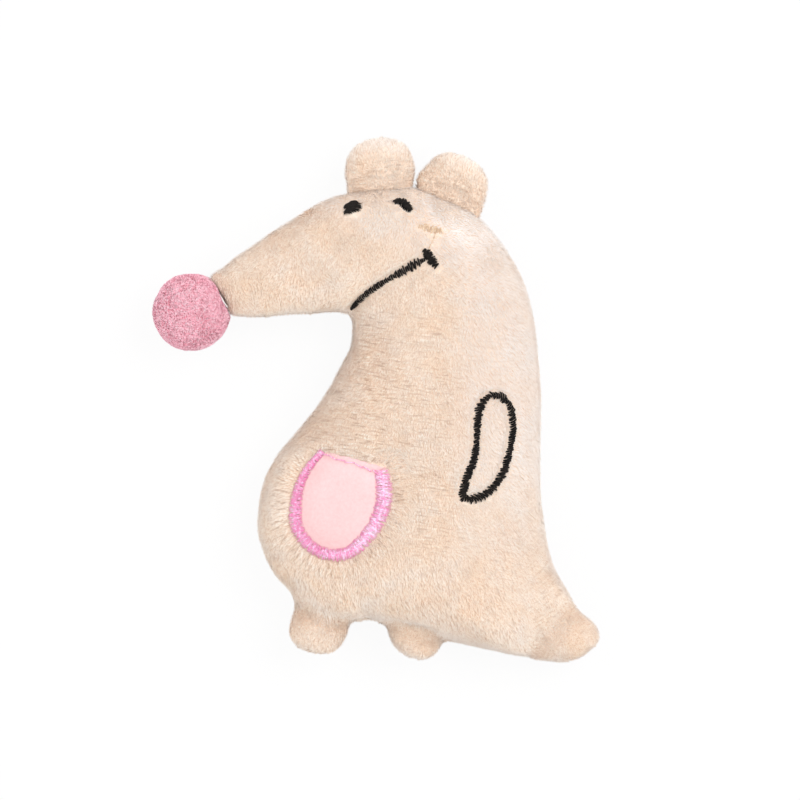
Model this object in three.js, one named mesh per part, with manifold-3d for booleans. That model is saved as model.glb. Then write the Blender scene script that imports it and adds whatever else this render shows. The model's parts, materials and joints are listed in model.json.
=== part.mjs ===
// Catnip mouse: a small stuffed plush toy that lies on its back with the embroidered side up.
// Lengths are in millimetres. +Z is up, +Y runs from the feet to the ears and -X to the nose.
// The two body panels meet in one flat seam, and everything is placed from that seam plane.

import * as THREE from 'three';
import { mergeVertices } from 'three/addons/utils/BufferGeometryUtils.js';
import Module from 'manifold-3d';

const wasm = await Module();
wasm.setup();

// Body panels, both cut to one outline in side view
const PANEL_WIDTH = 76.6;
const PANEL_HEIGHT = 99.3;
const FRONT_DEPTH = 14.5;
const BACK_DEPTH = 12;
const REST_CUT = 0.5;
const FABRIC = 1.2;

// Seam between the body panels
const SEAM_GAP = 0.3;
const SEAM_LIP = 1;
const CHANNEL_HEIGHT = 1;
const ALLOWANCE_WIDTH = 3.5;
const ALLOWANCE_THICKNESS = 0.85;
const THREAD_DIAMETER = 0.4;
const THREAD_INSET = 1.9;
const LADDER_SWING = 0.5;

// Clearances and cutting allowances
const CLEARANCE = 0.3;
const LIMB_GAP = 0.45;
const OVERRUN = 0.05;

// Filling and catnip
const SACHET_WIDTH = 19;
const SACHET_HEIGHT = 25;
const SACHET_THICKNESS = 8;
const SACHET_CLOTH = 0.6;
const SACHET_MOUTH_WIDTH = 11;
const SACHET_MOUTH_GAP = 0.8;

// Limbs: two ears, two feet and the tail, each swelling from a root pinched flat in the seam
const LIMB_FABRIC = 0.9;
const LIMB_ROOT_THICKNESS = 1.4;
const LIMB_ROOT_TUCK = 4;
const LIMB_FILL_START = 1.1;
const EAR_THICKNESS = 8;
const FOOT_THICKNESS = 10.5;
const TAIL_THICKNESS = 10;
const EAR_SWELL_LENGTH = 4.2;
const FOOT_SWELL_LENGTH = 3.2;
const TAIL_SWELL_LENGTH = 3.6;
const FORE_EAR_LENGTH = 10.5;
const HIND_EAR_LENGTH = 9.7;
const FORE_FOOT_LENGTH = 8.6;
const HIND_FOOT_LENGTH = 7;
const TAIL_LENGTH = 9.2;

// Embroidery, satin stitched on the front panel
const STITCH_LIFT = 0.3;
const STITCH_HEIGHT = 0.6;
const ARM_LINE_WIDTH = 1.5;
const MOUTH_LINE_WIDTH = 1.2;
const MOUTH_CORNER_WIDTH = 1.4;
const FORE_EYE_WIDTH = 2.9;
const HIND_EYE_WIDTH = 2.4;
const CHEEK_WIDTH = 1.7;
const BORDER_WIDTH = 2.7;
const PATCH_THICKNESS = 0.6;
const PATCH_TUCK = 0.45;
const PATCH_EDGE_STEP = 0.5;
const TOP_STITCH_WIDTH = 0.5;
const NOSE_STITCH_WIDTH = 0.5;

// Pompom nose and the thread that holds it
const POMPOM_DIAMETER = 16.5;
const POMPOM_BORE = 2.2;
const POMPOM_BORE_DEPTH = 8;
const NOSE_GAP = 0.35;
const NOSE_REACH = 6.95;
const NOSE_RELIEF_ANGLE = THREE.MathUtils.degToRad(11);
const SHANK_DIAMETER = 0.8;
const SHANK_IN_SNOUT = 0.7;
const SHANK_IN_POMPOM = 2.3;
const SHANK_HOLE = 2;
const TIE_DIAMETER = 1.6;

// Shape exponents of the swollen panels: two is an ellipse and more is squarer
const FRONT_SWELL_SHARE = 2.1;
const BACK_SWELL_SHARE = 2.6;

// Steps of the curved surfaces
const BODY_STATIONS = 25;
const BOTTOM_STEPS = 12;
const LIMB_ARC_STEPS = 8;
const OVAL_STEPS = 18;
const THREAD_SIDES = 6;
const POMPOM_SIDES = 22;
const SHORT_STITCH_STEPS = 6;
const MOUTH_STEPS = 14;

// The body is measured across at stations from the hem to the snout. Each row holds the left edge,
// the right edge, and the depth of the front and the back there, as shares of the panel's sizes.
const bodyStationShares = [
  [0.153, 0.209, 0.948, 0.197, 1, 1],
  [0.126, 0.294, 0.921, 0.29, 1, 1],
  [0.137, 0.362, 0.912, 0.366, 0.98, 1],
  [0.178, 0.431, 0.907, 0.431, 0.96, 1],
  [0.249, 0.493, 0.907, 0.495, 0.93, 1],
  [0.315, 0.558, 0.907, 0.564, 0.89, 0.99],
  [0.362, 0.628, 0.899, 0.632, 0.86, 0.98],
  [0.384, 0.679, 0.89, 0.7, 0.83, 0.97],
  [0.389, 0.712, 0.868, 0.789, 0.8, 0.93],
  [0.389, 0.728, 0.816, 0.867, 0.78, 0.9],
  [0.381, 0.735, 0.74, 0.937, 0.76, 0.86],
  [0.364, 0.736, 0.655, 0.975, 0.72, 0.82],
  [0.342, 0.736, 0.559, 0.997, 0.68, 0.78],
  [0.315, 0.736, 0.46, 1, 0.64, 0.74],
  [0.279, 0.736, 0.364, 0.985, 0.58, 0.68],
  [0.233, 0.734, 0.279, 0.956, 0.52, 0.61],
  [0.181, 0.73, 0.195, 0.915, 0.46, 0.54],
  [0.129, 0.727, 0.121, 0.876, 0.41, 0.48],
  [0.088, 0.726, 0.055, 0.839, 0.37, 0.43],
  [0.063, 0.729, 0.008, 0.809, 0.33, 0.38],
];
const lastRidgeStationShare = 18 / 19;

// Edge of the panels below the first station, from left to right, and round the end of the snout
const bottomEdgeShares = [
  [0.173, 0.178], [0.23, 0.118], [0.315, 0.086], [0.373, 0.087], [0.416, 0.096],
  [0.526, 0.068], [0.658, 0.038], [0.767, 0.018], [0.866, 0.003], [0.929, 0.053], [0.989, 0.125],
];
const snoutEndShares = [[0.015, 0.785], [0.027, 0.767], [0.042, 0.749]];

// How far up the swell each ring of a panel lies, from the seam to the ridge
const bodyRingShares = [0, 0.03, 0.11, 0.25, 0.45, 0.7, 1];
const liningRingShares = [0, 0.1, 0.32, 0.62, 1];
const limbRingShares = [0, 0.08, 0.27, 0.58, 1];
const sheetRingShares = [0, 0.4, 0.72, 1];

// Largest share of a rib that each layer's inset may take where the form is narrow
const LIP_LIMIT_SHARE = 0.2;
const LINING_LIMIT_SHARE = 0.3;
const THREAD_LIMIT_SHARE = 0.33;
const ALLOWANCE_LIMIT_SHARE = 0.45;
const FILL_LIMIT_SHARE = 0.5;
const CORE_LIMIT_SHARE = 0.62;

// The filling's neck, where the head's wad meets the body's, and the middle of the catnip sachet
const neckShare = 0.715;
const sachetCentreShare = [0.55, 0.36];
const SACHET_CORNER_SHARE = 3.2;
const SACHET_RIDGE_SHARE = 0.3;

// Turning gap that is sewn up last by hand, from start to end along the right-hand edge
const turningGapShare = [0.12, 0.32];
const LADDER_WAVES = 6;
const LADDER_STEPS = 42;

// Limbs: root holds the two ends of each limb's root on the body's edge, width the limb's width
// past its root as a share of the root, shoulder where its round end starts, lean its slant, and
// blunt the exponent of its round end.
const limbs = [
  {
    name: 'ear_fore', rootShares: [[0.367, 0.987], [0.556, 0.997]], widthShare: 1.03,
    shoulderShare: 0.38, leanShare: 0.09, bluntShare: 2.3, length: FORE_EAR_LENGTH,
    thickness: EAR_THICKNESS, swell: EAR_SWELL_LENGTH,
  },
  {
    name: 'ear_hind', rootShares: [[0.575, 0.994], [0.748, 0.934]], widthShare: 0.97,
    shoulderShare: 0.36, leanShare: -0.19, bluntShare: 2.3, length: HIND_EAR_LENGTH,
    thickness: EAR_THICKNESS, swell: EAR_SWELL_LENGTH,
  },
  {
    name: 'foot_fore', rootShares: [[0.397, 0.091], [0.227, 0.121]], widthShare: 0.93,
    shoulderShare: 0.3, leanShare: 0, bluntShare: 2.3, length: FORE_FOOT_LENGTH,
    thickness: FOOT_THICKNESS, swell: FOOT_SWELL_LENGTH,
  },
  {
    name: 'foot_hind', rootShares: [[0.655, 0.038], [0.466, 0.082]], widthShare: 0.8,
    shoulderShare: 0.24, leanShare: -0.26, bluntShare: 2, length: HIND_FOOT_LENGTH,
    thickness: FOOT_THICKNESS, swell: FOOT_SWELL_LENGTH,
  },
  {
    name: 'tail', rootShares: [[0.989, 0.125], [0.868, 0.004]], widthShare: 0.88,
    shoulderShare: 0.35, leanShare: -0.15, bluntShare: 2.5, length: TAIL_LENGTH,
    thickness: TAIL_THICKNESS, swell: TAIL_SWELL_LENGTH,
  },
];

// Embroidered lines, as shares of the panel. Widths along a line are shares of its named width.
const armLineShares = [
  [0.77, 0.557], [0.748, 0.546], [0.736, 0.527], [0.732, 0.503], [0.73, 0.477], [0.727, 0.447],
  [0.722, 0.421], [0.706, 0.4], [0.695, 0.378], [0.694, 0.356], [0.706, 0.339], [0.728, 0.337],
  [0.753, 0.346], [0.782, 0.365], [0.801, 0.395], [0.812, 0.423], [0.821, 0.449], [0.825, 0.477],
  [0.824, 0.503], [0.818, 0.527], [0.804, 0.546], [0.787, 0.556],
];
const mouthLineShares = [
  [0.395, 0.744], [0.416, 0.763], [0.447, 0.782], [0.477, 0.799], [0.508, 0.811],
  [0.539, 0.825], [0.57, 0.836], [0.585, 0.842],
];
const mouthCornerShares = [[0.583, 0.86], [0.598, 0.846], [0.615, 0.831]];
const foreEyeShares = [[0.366, 0.949], [0.39, 0.954], [0.413, 0.956]];
const hindEyeShares = [[0.507, 0.968], [0.53, 0.961], [0.551, 0.951]];
const cheekShares = [[0.575, 0.914], [0.605, 0.91], [0.644, 0.905]];
const noseStitchShares = [[0.032, 0.775], [0.044, 0.761], [0.052, 0.746]];
const patchBorderShares = [
  [0.299, 0.44], [0.271, 0.415], [0.247, 0.387], [0.233, 0.357], [0.226, 0.326], [0.23, 0.298],
  [0.248, 0.275], [0.274, 0.253], [0.304, 0.24], [0.341, 0.237], [0.375, 0.246], [0.41, 0.262],
  [0.433, 0.284], [0.449, 0.313], [0.459, 0.345], [0.459, 0.374], [0.452, 0.4],
];
const patchTopShares = [[0.4, 0.419], [0.352, 0.435]];
const patchCentreShare = [0.35, 0.34];
const topStitchShares = [[0.315, 0.43], [0.345, 0.42], [0.38, 0.41], [0.418, 0.401]];
const topStitchWidthShares = [1, 1, 1, 0.4, 0.4, 1, 1, 1, 0.4, 0.4, 1, 1, 1, 0.4, 0.4, 1, 1, 1];
const evenWidthShares = [1, 1];
const eyeWidthShares = [0.5, 1, 0.55];
const cheekWidthShares = [0.6, 1, 0.6];
const cornerWidthShares = [0.7, 1, 0.8];
const stitchEdgeShare = 0.5;
const borderRiseShare = 0.75;

// Colours and finishes
const plush = { color: 0xf0d5c0, roughness: 0.95, metalness: 0 };
const plushBack = { color: 0xecd0ba, roughness: 0.95, metalness: 0 };
const filling = { color: 0xf6f5f0, roughness: 1, metalness: 0 };
const blackThread = { color: 0x1b191b, roughness: 0.5, metalness: 0 };
const tanThread = { color: 0xd9a27c, roughness: 0.55, metalness: 0 };
const pinkThread = { color: 0xef8fc8, roughness: 0.4, metalness: 0 };
const whiteThread = { color: 0xf4f1ee, roughness: 0.5, metalness: 0 };
const seamThread = { color: 0xe8cdb8, roughness: 0.6, metalness: 0 };
const pinkFelt = { color: 0xfbd9dc, roughness: 0.9, metalness: 0 };
const pinkYarn = { color: 0xee9fb4, roughness: 0.95, metalness: 0 };
const sachetCloth = { color: 0xf3efe6, roughness: 0.9, metalness: 0 };
const driedLeaf = { color: 0x7d8450, roughness: 1, metalness: 0 };

// Ring shapes, joining rows of points round a form into one closed surface
function joinRings(rings, reversed = false) {
  const count = rings[0].length;
  const positions = rings.flat().flatMap((point) => point.toArray());
  const corners = [];
  for (let row = 0; row + 1 < rings.length; row += 1) {
    for (let step = 0; step < count; step += 1) {
      const next = (step + 1) % count;
      const lower = row * count;
      const upper = lower + count;
      const quad = [lower + step, lower + next, upper + next, lower + step, upper + next, upper + step];
      corners.push(...(reversed ? quad.reverse() : quad));
    }
  }
  const geometry = new THREE.BufferGeometry();
  geometry.setAttribute('position', new THREE.Float32BufferAttribute(positions, 3));
  geometry.setIndex(corners);
  return geometry;
}

// Solids for cutting and joining: corners that meet are merged and empty faces dropped
function solid(geometry) {
  const bare = new THREE.BufferGeometry();
  bare.setAttribute('position', geometry.getAttribute('position'));
  bare.setIndex(geometry.getIndex());
  const merged = mergeVertices(bare);
  const corners = [];
  for (let face = 0; face < merged.index.count; face += 3) {
    const [a, b, c] = [0, 1, 2].map((corner) => merged.index.getX(face + corner));
    if (a !== b && b !== c && c !== a) {
      corners.push(a, b, c);
    }
  }
  return new wasm.Manifold(new wasm.Mesh({
    numProp: 3,
    vertProperties: new Float32Array(merged.getAttribute('position').array),
    triVerts: new Uint32Array(corners),
  }));
}

function geometryOf(body) {
  const mesh = body.getMesh();
  const geometry = new THREE.BufferGeometry();
  geometry.setAttribute('position', new THREE.BufferAttribute(new Float32Array(mesh.vertProperties), 3));
  geometry.setIndex(new THREE.BufferAttribute(new Uint32Array(mesh.triVerts), 1));
  geometry.computeVertexNormals();
  return geometry;
}

function piece(name, body, finish) {
  const mesh = new THREE.Mesh(geometryOf(body), new THREE.MeshStandardMaterial(finish));
  mesh.name = name;
  return mesh;
}

function panelPoint([across, up]) {
  return new THREE.Vector2(across * PANEL_WIDTH, up * PANEL_HEIGHT);
}

function smoothPath(points, steps, closed = false) {
  const flat = points.map((point) => new THREE.Vector3(point.x, point.y, 0));
  const curve = new THREE.CatmullRomCurve3(flat, closed);
  const count = closed ? steps : steps + 1;
  return Array.from({ length: count }, (_, step) => {
    const point = curve.getPoint(step / steps);
    return new THREE.Vector2(point.x, point.y);
  });
}

// A rib runs across a swollen form from its edge to its ridge, and keeps the rise of each side
function makeRib(edge, ridge, front, back) {
  return { edge, ridge, front, back, reach: edge.distanceTo(ridge) };
}

function makeBodyRibs() {
  const leftCurve = new THREE.CatmullRomCurve3(bodyStationShares.map(
    ([x, y, , , front]) => new THREE.Vector3(x * PANEL_WIDTH, y * PANEL_HEIGHT, front * FRONT_DEPTH),
  ));
  const rightCurve = new THREE.CatmullRomCurve3(bodyStationShares.map(
    ([, , x, y, , back]) => new THREE.Vector3(x * PANEL_WIDTH, y * PANEL_HEIGHT, back * BACK_DEPTH),
  ));
  const ridgeAt = (share) => {
    const left = leftCurve.getPoint(share);
    const right = rightCurve.getPoint(share);
    const middle = new THREE.Vector2((left.x + right.x) / 2, (left.y + right.y) / 2);
    return { middle, front: left.z, back: right.z };
  };
  const stations = Array.from({ length: BODY_STATIONS + 1 }, (_, step) => step / BODY_STATIONS);
  const ribAt = (curve, share) => {
    const ridge = ridgeAt(Math.min(share, lastRidgeStationShare));
    const edge = curve.getPoint(share);
    return makeRib(new THREE.Vector2(edge.x, edge.y), ridge.middle, ridge.front, ridge.back);
  };
  const right = stations.map((share) => ribAt(rightCurve, share));
  const left = stations.map((share) => ribAt(leftCurve, share)).reverse();
  const hem = right[0];
  const tip = left[0];
  const bottomPoints = [left.at(-1).edge, ...bottomEdgeShares.map(panelPoint), hem.edge];
  const bottom = smoothPath(bottomPoints, BOTTOM_STEPS).slice(1, -1);
  return [
    ...right,
    ...snoutEndShares.map((share) => makeRib(panelPoint(share), tip.ridge, tip.front, tip.back)),
    ...left,
    ...bottom.map((edge) => makeRib(edge, hem.ridge, hem.front, hem.back)),
  ];
}

// Swell of a panel between its edge and its ridge
function swellShare(share, side) {
  const power = side === 'front' ? FRONT_SWELL_SHARE : BACK_SWELL_SHARE;
  return (1 - (1 - share) ** power) ** (1 / power);
}

function pointOnRib(rib, inset, limitShare, share) {
  if (share === 1) {
    return rib.ridge.clone();
  }
  const start = Math.min(inset / rib.reach, limitShare);
  return rib.edge.clone().lerp(rib.ridge, start + (1 - start) * share);
}

// Rings of one side of a form. layer holds the inset from the edge, its limit as a share, the
// height at which the layer starts above the seam, and how far it lies below the outside.
function sideRings(ribs, side, layer, ringShares) {
  const sign = side === 'front' ? 1 : -1;
  return ringShares.map((share) => ribs.map((rib) => {
    const point = pointOnRib(rib, layer.inset, layer.limitShare, share);
    const swell = (rib[side] - layer.drop - layer.base) * swellShare(share, side);
    return new THREE.Vector3(point.x, point.y, sign * (layer.base + swell));
  }));
}

function levelRing(ribs, layer, share, height) {
  return ribs.map((rib) => {
    const point = pointOnRib(rib, layer.inset, layer.limitShare, share);
    return new THREE.Vector3(point.x, point.y, height);
  });
}

// One half of a swollen form, flat at its base
function dome(ribs, side, layer, ringShares) {
  const sign = side === 'front' ? 1 : -1;
  const floor = levelRing(ribs, layer, 1, sign * layer.base);
  return solid(joinRings([floor, ...sideRings(ribs, side, layer, ringShares)], side === 'back'));
}

// Both halves of a swollen form in one body
function lens(ribs, layer, ringShares) {
  const under = sideRings(ribs, 'back', layer, ringShares).reverse();
  const over = sideRings(ribs, 'front', layer, ringShares);
  return solid(joinRings([...under.slice(0, -1), ...over]));
}

function slab(ribs, layer, low, high) {
  return solid(joinRings([
    levelRing(ribs, layer, 1, low),
    levelRing(ribs, layer, 0, low),
    levelRing(ribs, layer, 0, high),
    levelRing(ribs, layer, 1, high),
  ]));
}

function block(low, high) {
  const size = high.clone().sub(low);
  const geometry = new THREE.BoxGeometry(size.x, size.y, size.z);
  geometry.translate((low.x + high.x) / 2, (low.y + high.y) / 2, (low.z + high.z) / 2);
  return solid(geometry);
}

const bodyRibs = makeBodyRibs();
const bodyReach = PANEL_WIDTH + PANEL_HEIGHT;
const bodyDepth = FRONT_DEPTH + BACK_DEPTH;
const lowCorner = new THREE.Vector3(-bodyReach, -bodyReach, -bodyDepth);
const highCorner = new THREE.Vector3(bodyReach, bodyReach, bodyDepth);

// Heights above the seam plane at which the layers of a body panel lie
const lipHeight = SEAM_GAP / 2;
const channelTop = CHANNEL_HEIGHT / 2;
const allowanceTop = channelTop + ALLOWANCE_THICKNESS;
const restHeight = BACK_DEPTH - REST_CUT;

// Layers of the body, from the pile of the fabric inwards
const outside = { inset: 0, limitShare: 0, base: lipHeight, drop: 0 };
const lining = { inset: FABRIC, limitShare: LINING_LIMIT_SHARE, base: allowanceTop, drop: FABRIC };
const lip = { inset: SEAM_LIP, limitShare: LIP_LIMIT_SHARE };
const allowance = { inset: ALLOWANCE_WIDTH, limitShare: ALLOWANCE_LIMIT_SHARE };
const fillSurface = {
  inset: FABRIC + CLEARANCE, limitShare: FILL_LIMIT_SHARE,
  base: allowanceTop + CLEARANCE, drop: FABRIC + CLEARANCE,
};
const fillCore = { inset: ALLOWANCE_WIDTH + CLEARANCE, limitShare: CORE_LIMIT_SHARE };

// Nose: the line from the snout's end to the middle of the pompom
const snoutEnd = panelPoint(snoutEndShares[1]);
const snoutRidge = bodyRibs.find((rib) => rib.edge.distanceTo(snoutEnd) === 0).ridge;
const noseDirection = new THREE.Vector2().subVectors(snoutEnd, snoutRidge).normalize();
const noseTurn = new THREE.Quaternion().setFromUnitVectors(
  new THREE.Vector3(0, 1, 0),
  new THREE.Vector3(-noseDirection.x, -noseDirection.y, 0),
);

function alongNose(distance) {
  const point = noseDirection.clone().multiplyScalar(distance).add(snoutEnd);
  return new THREE.Vector3(point.x, point.y, 0);
}

function alignWithNose(geometry, distance) {
  const place = alongNose(distance);
  return geometry.applyQuaternion(noseTurn).translate(place.x, place.y, place.z);
}

function shankHole() {
  const depth = 2 * (SEAM_LIP + CLEARANCE);
  const bore = new THREE.CylinderGeometry(SHANK_HOLE / 2, SHANK_HOLE / 2, depth, THREAD_SIDES * 2);
  return solid(alignWithNose(bore, 0));
}

// Body panel: a shell of fabric with its seam allowance turned inwards, flat on the other panel's
function bodyPanel(side) {
  const sign = side === 'front' ? 1 : -1;
  const across = (layer, height) => {
    const [low, high] = sign > 0 ? [-OVERRUN, height] : [-height, OVERRUN];
    return slab(bodyRibs, layer, low, high);
  };
  return dome(bodyRibs, side, outside, bodyRingShares)
    .subtract(dome(bodyRibs, side, lining, liningRingShares))
    .subtract(across(allowance, allowanceTop + OVERRUN))
    .subtract(across(lip, channelTop))
    .subtract(shankHole());
}

function backPanel() {
  const below = new THREE.Vector3(highCorner.x, highCorner.y, -restHeight);
  return bodyPanel('back').subtract(block(lowCorner, below));
}

// Oval pillow on a short upright ridge, for the sachet and the limbs' filling
function ovalRibs(centre, halfWidth, halfHeight, ridgeHalf, power, rise) {
  return Array.from({ length: OVAL_STEPS }, (_, step) => {
    const angle = (2 * Math.PI * step) / OVAL_STEPS;
    const x = halfWidth * Math.sign(Math.cos(angle)) * Math.abs(Math.cos(angle)) ** (2 / power);
    const y = halfHeight * Math.sign(Math.sin(angle)) * Math.abs(Math.sin(angle)) ** (2 / power);
    const ridgeY = THREE.MathUtils.clamp(y, -ridgeHalf, ridgeHalf);
    const edge = new THREE.Vector2(x, y).add(centre);
    return makeRib(edge, new THREE.Vector2(0, ridgeY).add(centre), rise, rise);
  });
}

function sachetLens(margin) {
  const halfHeight = SACHET_HEIGHT / 2 - margin;
  const ribs = ovalRibs(
    panelPoint(sachetCentreShare), SACHET_WIDTH / 2 - margin, halfHeight,
    halfHeight * SACHET_RIDGE_SHARE, SACHET_CORNER_SHARE, SACHET_THICKNESS / 2 - margin,
  );
  return lens(ribs, { inset: 0, limitShare: 0, base: 0, drop: 0 }, limbRingShares);
}

// The sachet is a cloth bag whose mouth is folded shut at the top, with a slit left between
function catnipSachet() {
  const centre = panelPoint(sachetCentreShare);
  const half = SACHET_MOUTH_WIDTH / 2;
  const low = new THREE.Vector3(centre.x - half, centre.y, -SACHET_MOUTH_GAP / 2);
  const high = new THREE.Vector3(centre.x + half, centre.y + SACHET_HEIGHT, SACHET_MOUTH_GAP / 2);
  return sachetLens(0).subtract(sachetLens(SACHET_CLOTH)).subtract(block(low, high));
}

// The filling is pushed in as wads: one in the head and snout, and one on each side of the sachet
function makeFilling() {
  const top = fillSurface.base + OVERRUN;
  const whole = dome(bodyRibs, 'front', fillSurface, liningRingShares)
    .add(dome(bodyRibs, 'back', fillSurface, liningRingShares))
    .add(slab(bodyRibs, fillCore, -top, top));
  const neck = neckShare * PANEL_HEIGHT;
  const seamHalf = CLEARANCE / 2;
  const headLow = new THREE.Vector3(lowCorner.x, neck + seamHalf, lowCorner.z);
  const frontLow = new THREE.Vector3(lowCorner.x, lowCorner.y, seamHalf);
  const frontHigh = new THREE.Vector3(highCorner.x, neck - seamHalf, highCorner.z);
  const backHigh = new THREE.Vector3(highCorner.x, neck - seamHalf, -seamHalf);
  const pocket = sachetLens(-CLEARANCE);
  return {
    head: whole.intersect(block(headLow, highCorner)),
    front: whole.intersect(block(frontLow, frontHigh)).subtract(pocket),
    back: whole.intersect(block(lowCorner, backHigh)).subtract(pocket),
  };
}

// Threads: a round thread along a path in the seam's channel
function thread(points, steps, diameter) {
  const section = new THREE.Shape();
  section.absarc(0, 0, diameter / 2, 0, 2 * Math.PI, false);
  const path = new THREE.CatmullRomCurve3(points);
  return new THREE.ExtrudeGeometry(section, {
    steps, extrudePath: path, bevelEnabled: false, curveSegments: THREAD_SIDES / 2,
  });
}

function seamPoints(shift = 0) {
  const layer = { inset: THREAD_INSET + shift, limitShare: THREAD_LIMIT_SHARE };
  return levelRing(bodyRibs, layer, 0, 0);
}

const gapStart = Math.round(turningGapShare[0] * bodyRibs.length);
const gapEnd = Math.round(turningGapShare[1] * bodyRibs.length);

function machineSeam() {
  const ring = seamPoints();
  const run = [...ring.slice(gapEnd), ...ring.slice(0, gapStart + 1)];
  return thread(run, run.length, THREAD_DIAMETER);
}

function ladderStitch() {
  const inner = seamPoints(LADDER_SWING);
  const outer = seamPoints(-LADDER_SWING);
  const from = gapStart + 1;
  const span = gapEnd - gapStart - 2;
  const inward = new THREE.CatmullRomCurve3(inner.slice(from, from + span + 1));
  const outward = new THREE.CatmullRomCurve3(outer.slice(from, from + span + 1));
  const points = Array.from({ length: LADDER_STEPS + 1 }, (_, step) => {
    const share = step / LADDER_STEPS;
    const swing = (1 - Math.cos(2 * Math.PI * LADDER_WAVES * share)) / 2;
    return inward.getPoint(share).lerp(outward.getPoint(share), swing);
  });
  return thread(points, LADDER_STEPS, THREAD_DIAMETER);
}

// Edge of the body moved outwards, which the limbs' roots are cut to
function bodyTrim() {
  const edges = bodyRibs.map((rib) => rib.edge);
  const moved = edges.map((edge, step) => {
    const before = edges.at(step - 1);
    const after = edges[(step + 1) % edges.length];
    const run = new THREE.Vector2().subVectors(after, before).normalize();
    return new THREE.Vector2(edge.x + run.y * LIMB_GAP, edge.y - run.x * LIMB_GAP);
  });
  const depth = 2 * bodyDepth;
  const prism = new THREE.ExtrudeGeometry(new THREE.Shape(moved), { depth, bevelEnabled: false });
  return solid(prism.translate(0, 0, -bodyDepth));
}

// A limb's own axes: across its root, outwards from it, and the line where the body's edge ends
function limbFrame(limb) {
  const [start, end] = limb.rootShares.map(panelPoint);
  const across = new THREE.Vector2().subVectors(end, start);
  const width = across.length();
  across.normalize();
  const outward = new THREE.Vector2(-across.y, across.x);
  const middle = start.clone().add(end).divideScalar(2);
  const isNear = (offset, axis) => Math.abs(offset.dot(axis)) < width / 2;
  const bulges = bodyRibs
    .map((rib) => rib.edge.clone().sub(middle))
    .filter((offset) => isNear(offset, across) && isNear(offset, outward))
    .map((offset) => offset.dot(outward));
  const bulge = Math.max(0, ...bulges);
  return { across, outward, middle: middle.addScaledVector(outward, bulge), width };
}

function limbPoint(frame, limb, x, y) {
  const slanted = x + y * limb.leanShare;
  return frame.middle.clone().addScaledVector(frame.across, slanted).addScaledVector(frame.outward, y);
}

// Ribs of a limb's skin: straight sides up to the shoulder, then a blunt round end
function limbRibs(limb, frame) {
  const shoulder = limb.length * limb.shoulderShare;
  const rootHalf = frame.width / 2;
  const endHalf = rootHalf * limb.widthShare;
  const rise = (y) => {
    const share = THREE.MathUtils.clamp(y / limb.swell, 0, 1);
    const root = LIMB_ROOT_THICKNESS / 2;
    return root + (limb.thickness / 2 - root) * (1 - Math.cos(Math.PI * share)) / 2;
  };
  const ribAt = (x, y) => {
    const ridgeY = THREE.MathUtils.clamp(y, -LIMB_ROOT_TUCK / 2, limb.length - shoulder);
    const ridge = limbPoint(frame, limb, 0, Math.min(ridgeY, Math.max(shoulder, limb.swell)));
    const height = rise(ridgeY);
    return makeRib(limbPoint(frame, limb, x, y), ridge, height, height);
  };
  const levels = [-LIMB_ROOT_TUCK, 0, limb.swell / 4, limb.swell / 2, limb.swell * 3 / 4, shoulder];
  const sides = levels.filter((y, step) => step === levels.length - 1 || y < shoulder);
  const halfAt = (y) => rootHalf + (endHalf - rootHalf) * THREE.MathUtils.clamp(y / shoulder, 0, 1);
  const arc = Array.from({ length: LIMB_ARC_STEPS - 1 }, (_, step) => {
    const angle = (Math.PI * (step + 1)) / LIMB_ARC_STEPS;
    const x = endHalf * Math.sign(Math.cos(angle)) * Math.abs(Math.cos(angle)) ** (2 / limb.bluntShare);
    const y = shoulder + (limb.length - shoulder) * Math.sin(angle) ** (2 / limb.bluntShare);
    return [x, y];
  });
  return [
    ...sides.map((y) => ribAt(halfAt(y), y)),
    ...arc.map(([x, y]) => ribAt(x, y)),
    ...sides.reverse().map((y) => ribAt(-halfAt(y), y)),
  ];
}

// Room for a limb's filling, an oval pillow inside the skin
function limbPocket(limb, frame, margin) {
  const low = LIMB_FILL_START + margin;
  const halfHeight = (limb.length - margin - low) / 2;
  const halfWidth = frame.width * Math.min(1, limb.widthShare) / 2 - margin;
  const flat = ovalRibs(
    new THREE.Vector2(0, low + halfHeight), halfWidth, halfHeight,
    0, limb.bluntShare, limb.thickness / 2 - margin,
  );
  const ribs = flat.map((rib) => makeRib(
    limbPoint(frame, limb, rib.edge.x, rib.edge.y),
    limbPoint(frame, limb, rib.ridge.x, rib.ridge.y),
    rib.front, rib.back,
  ));
  return lens(ribs, { inset: 0, limitShare: 0, base: 0, drop: 0 }, limbRingShares);
}

const trim = bodyTrim();

function makeLimb(limb) {
  const frame = limbFrame(limb);
  const ribs = limbRibs(limb, frame);
  const pocket = limbPocket(limb, frame, LIMB_FABRIC);
  const half = (side) => dome(ribs, side, outside, limbRingShares).subtract(pocket).subtract(trim);
  const group = new THREE.Group();
  group.add(piece(`${limb.name}_front`, half('front'), plush));
  group.add(piece(`${limb.name}_back`, half('back'), plushBack));
  group.add(piece(`${limb.name}_fill`, limbPocket(limb, frame, LIMB_FABRIC + CLEARANCE), filling));
  const hinge = frame.middle;
  group.userData.hinge = { name: limb.name, at: hinge, axis: frame.across };
  return group;
}

// Work laid on the front panel follows the height of the fabric under each of its points
const frontPanel = piece('front_panel', bodyPanel('front'), plush);
const ray = new THREE.Raycaster();
const down = new THREE.Vector3(0, 0, -1);

function heightAt(point, grounds) {
  ray.set(new THREE.Vector3(point.x, point.y, highCorner.z), down);
  return ray.intersectObjects(grounds)[0].point.z;
}

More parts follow.
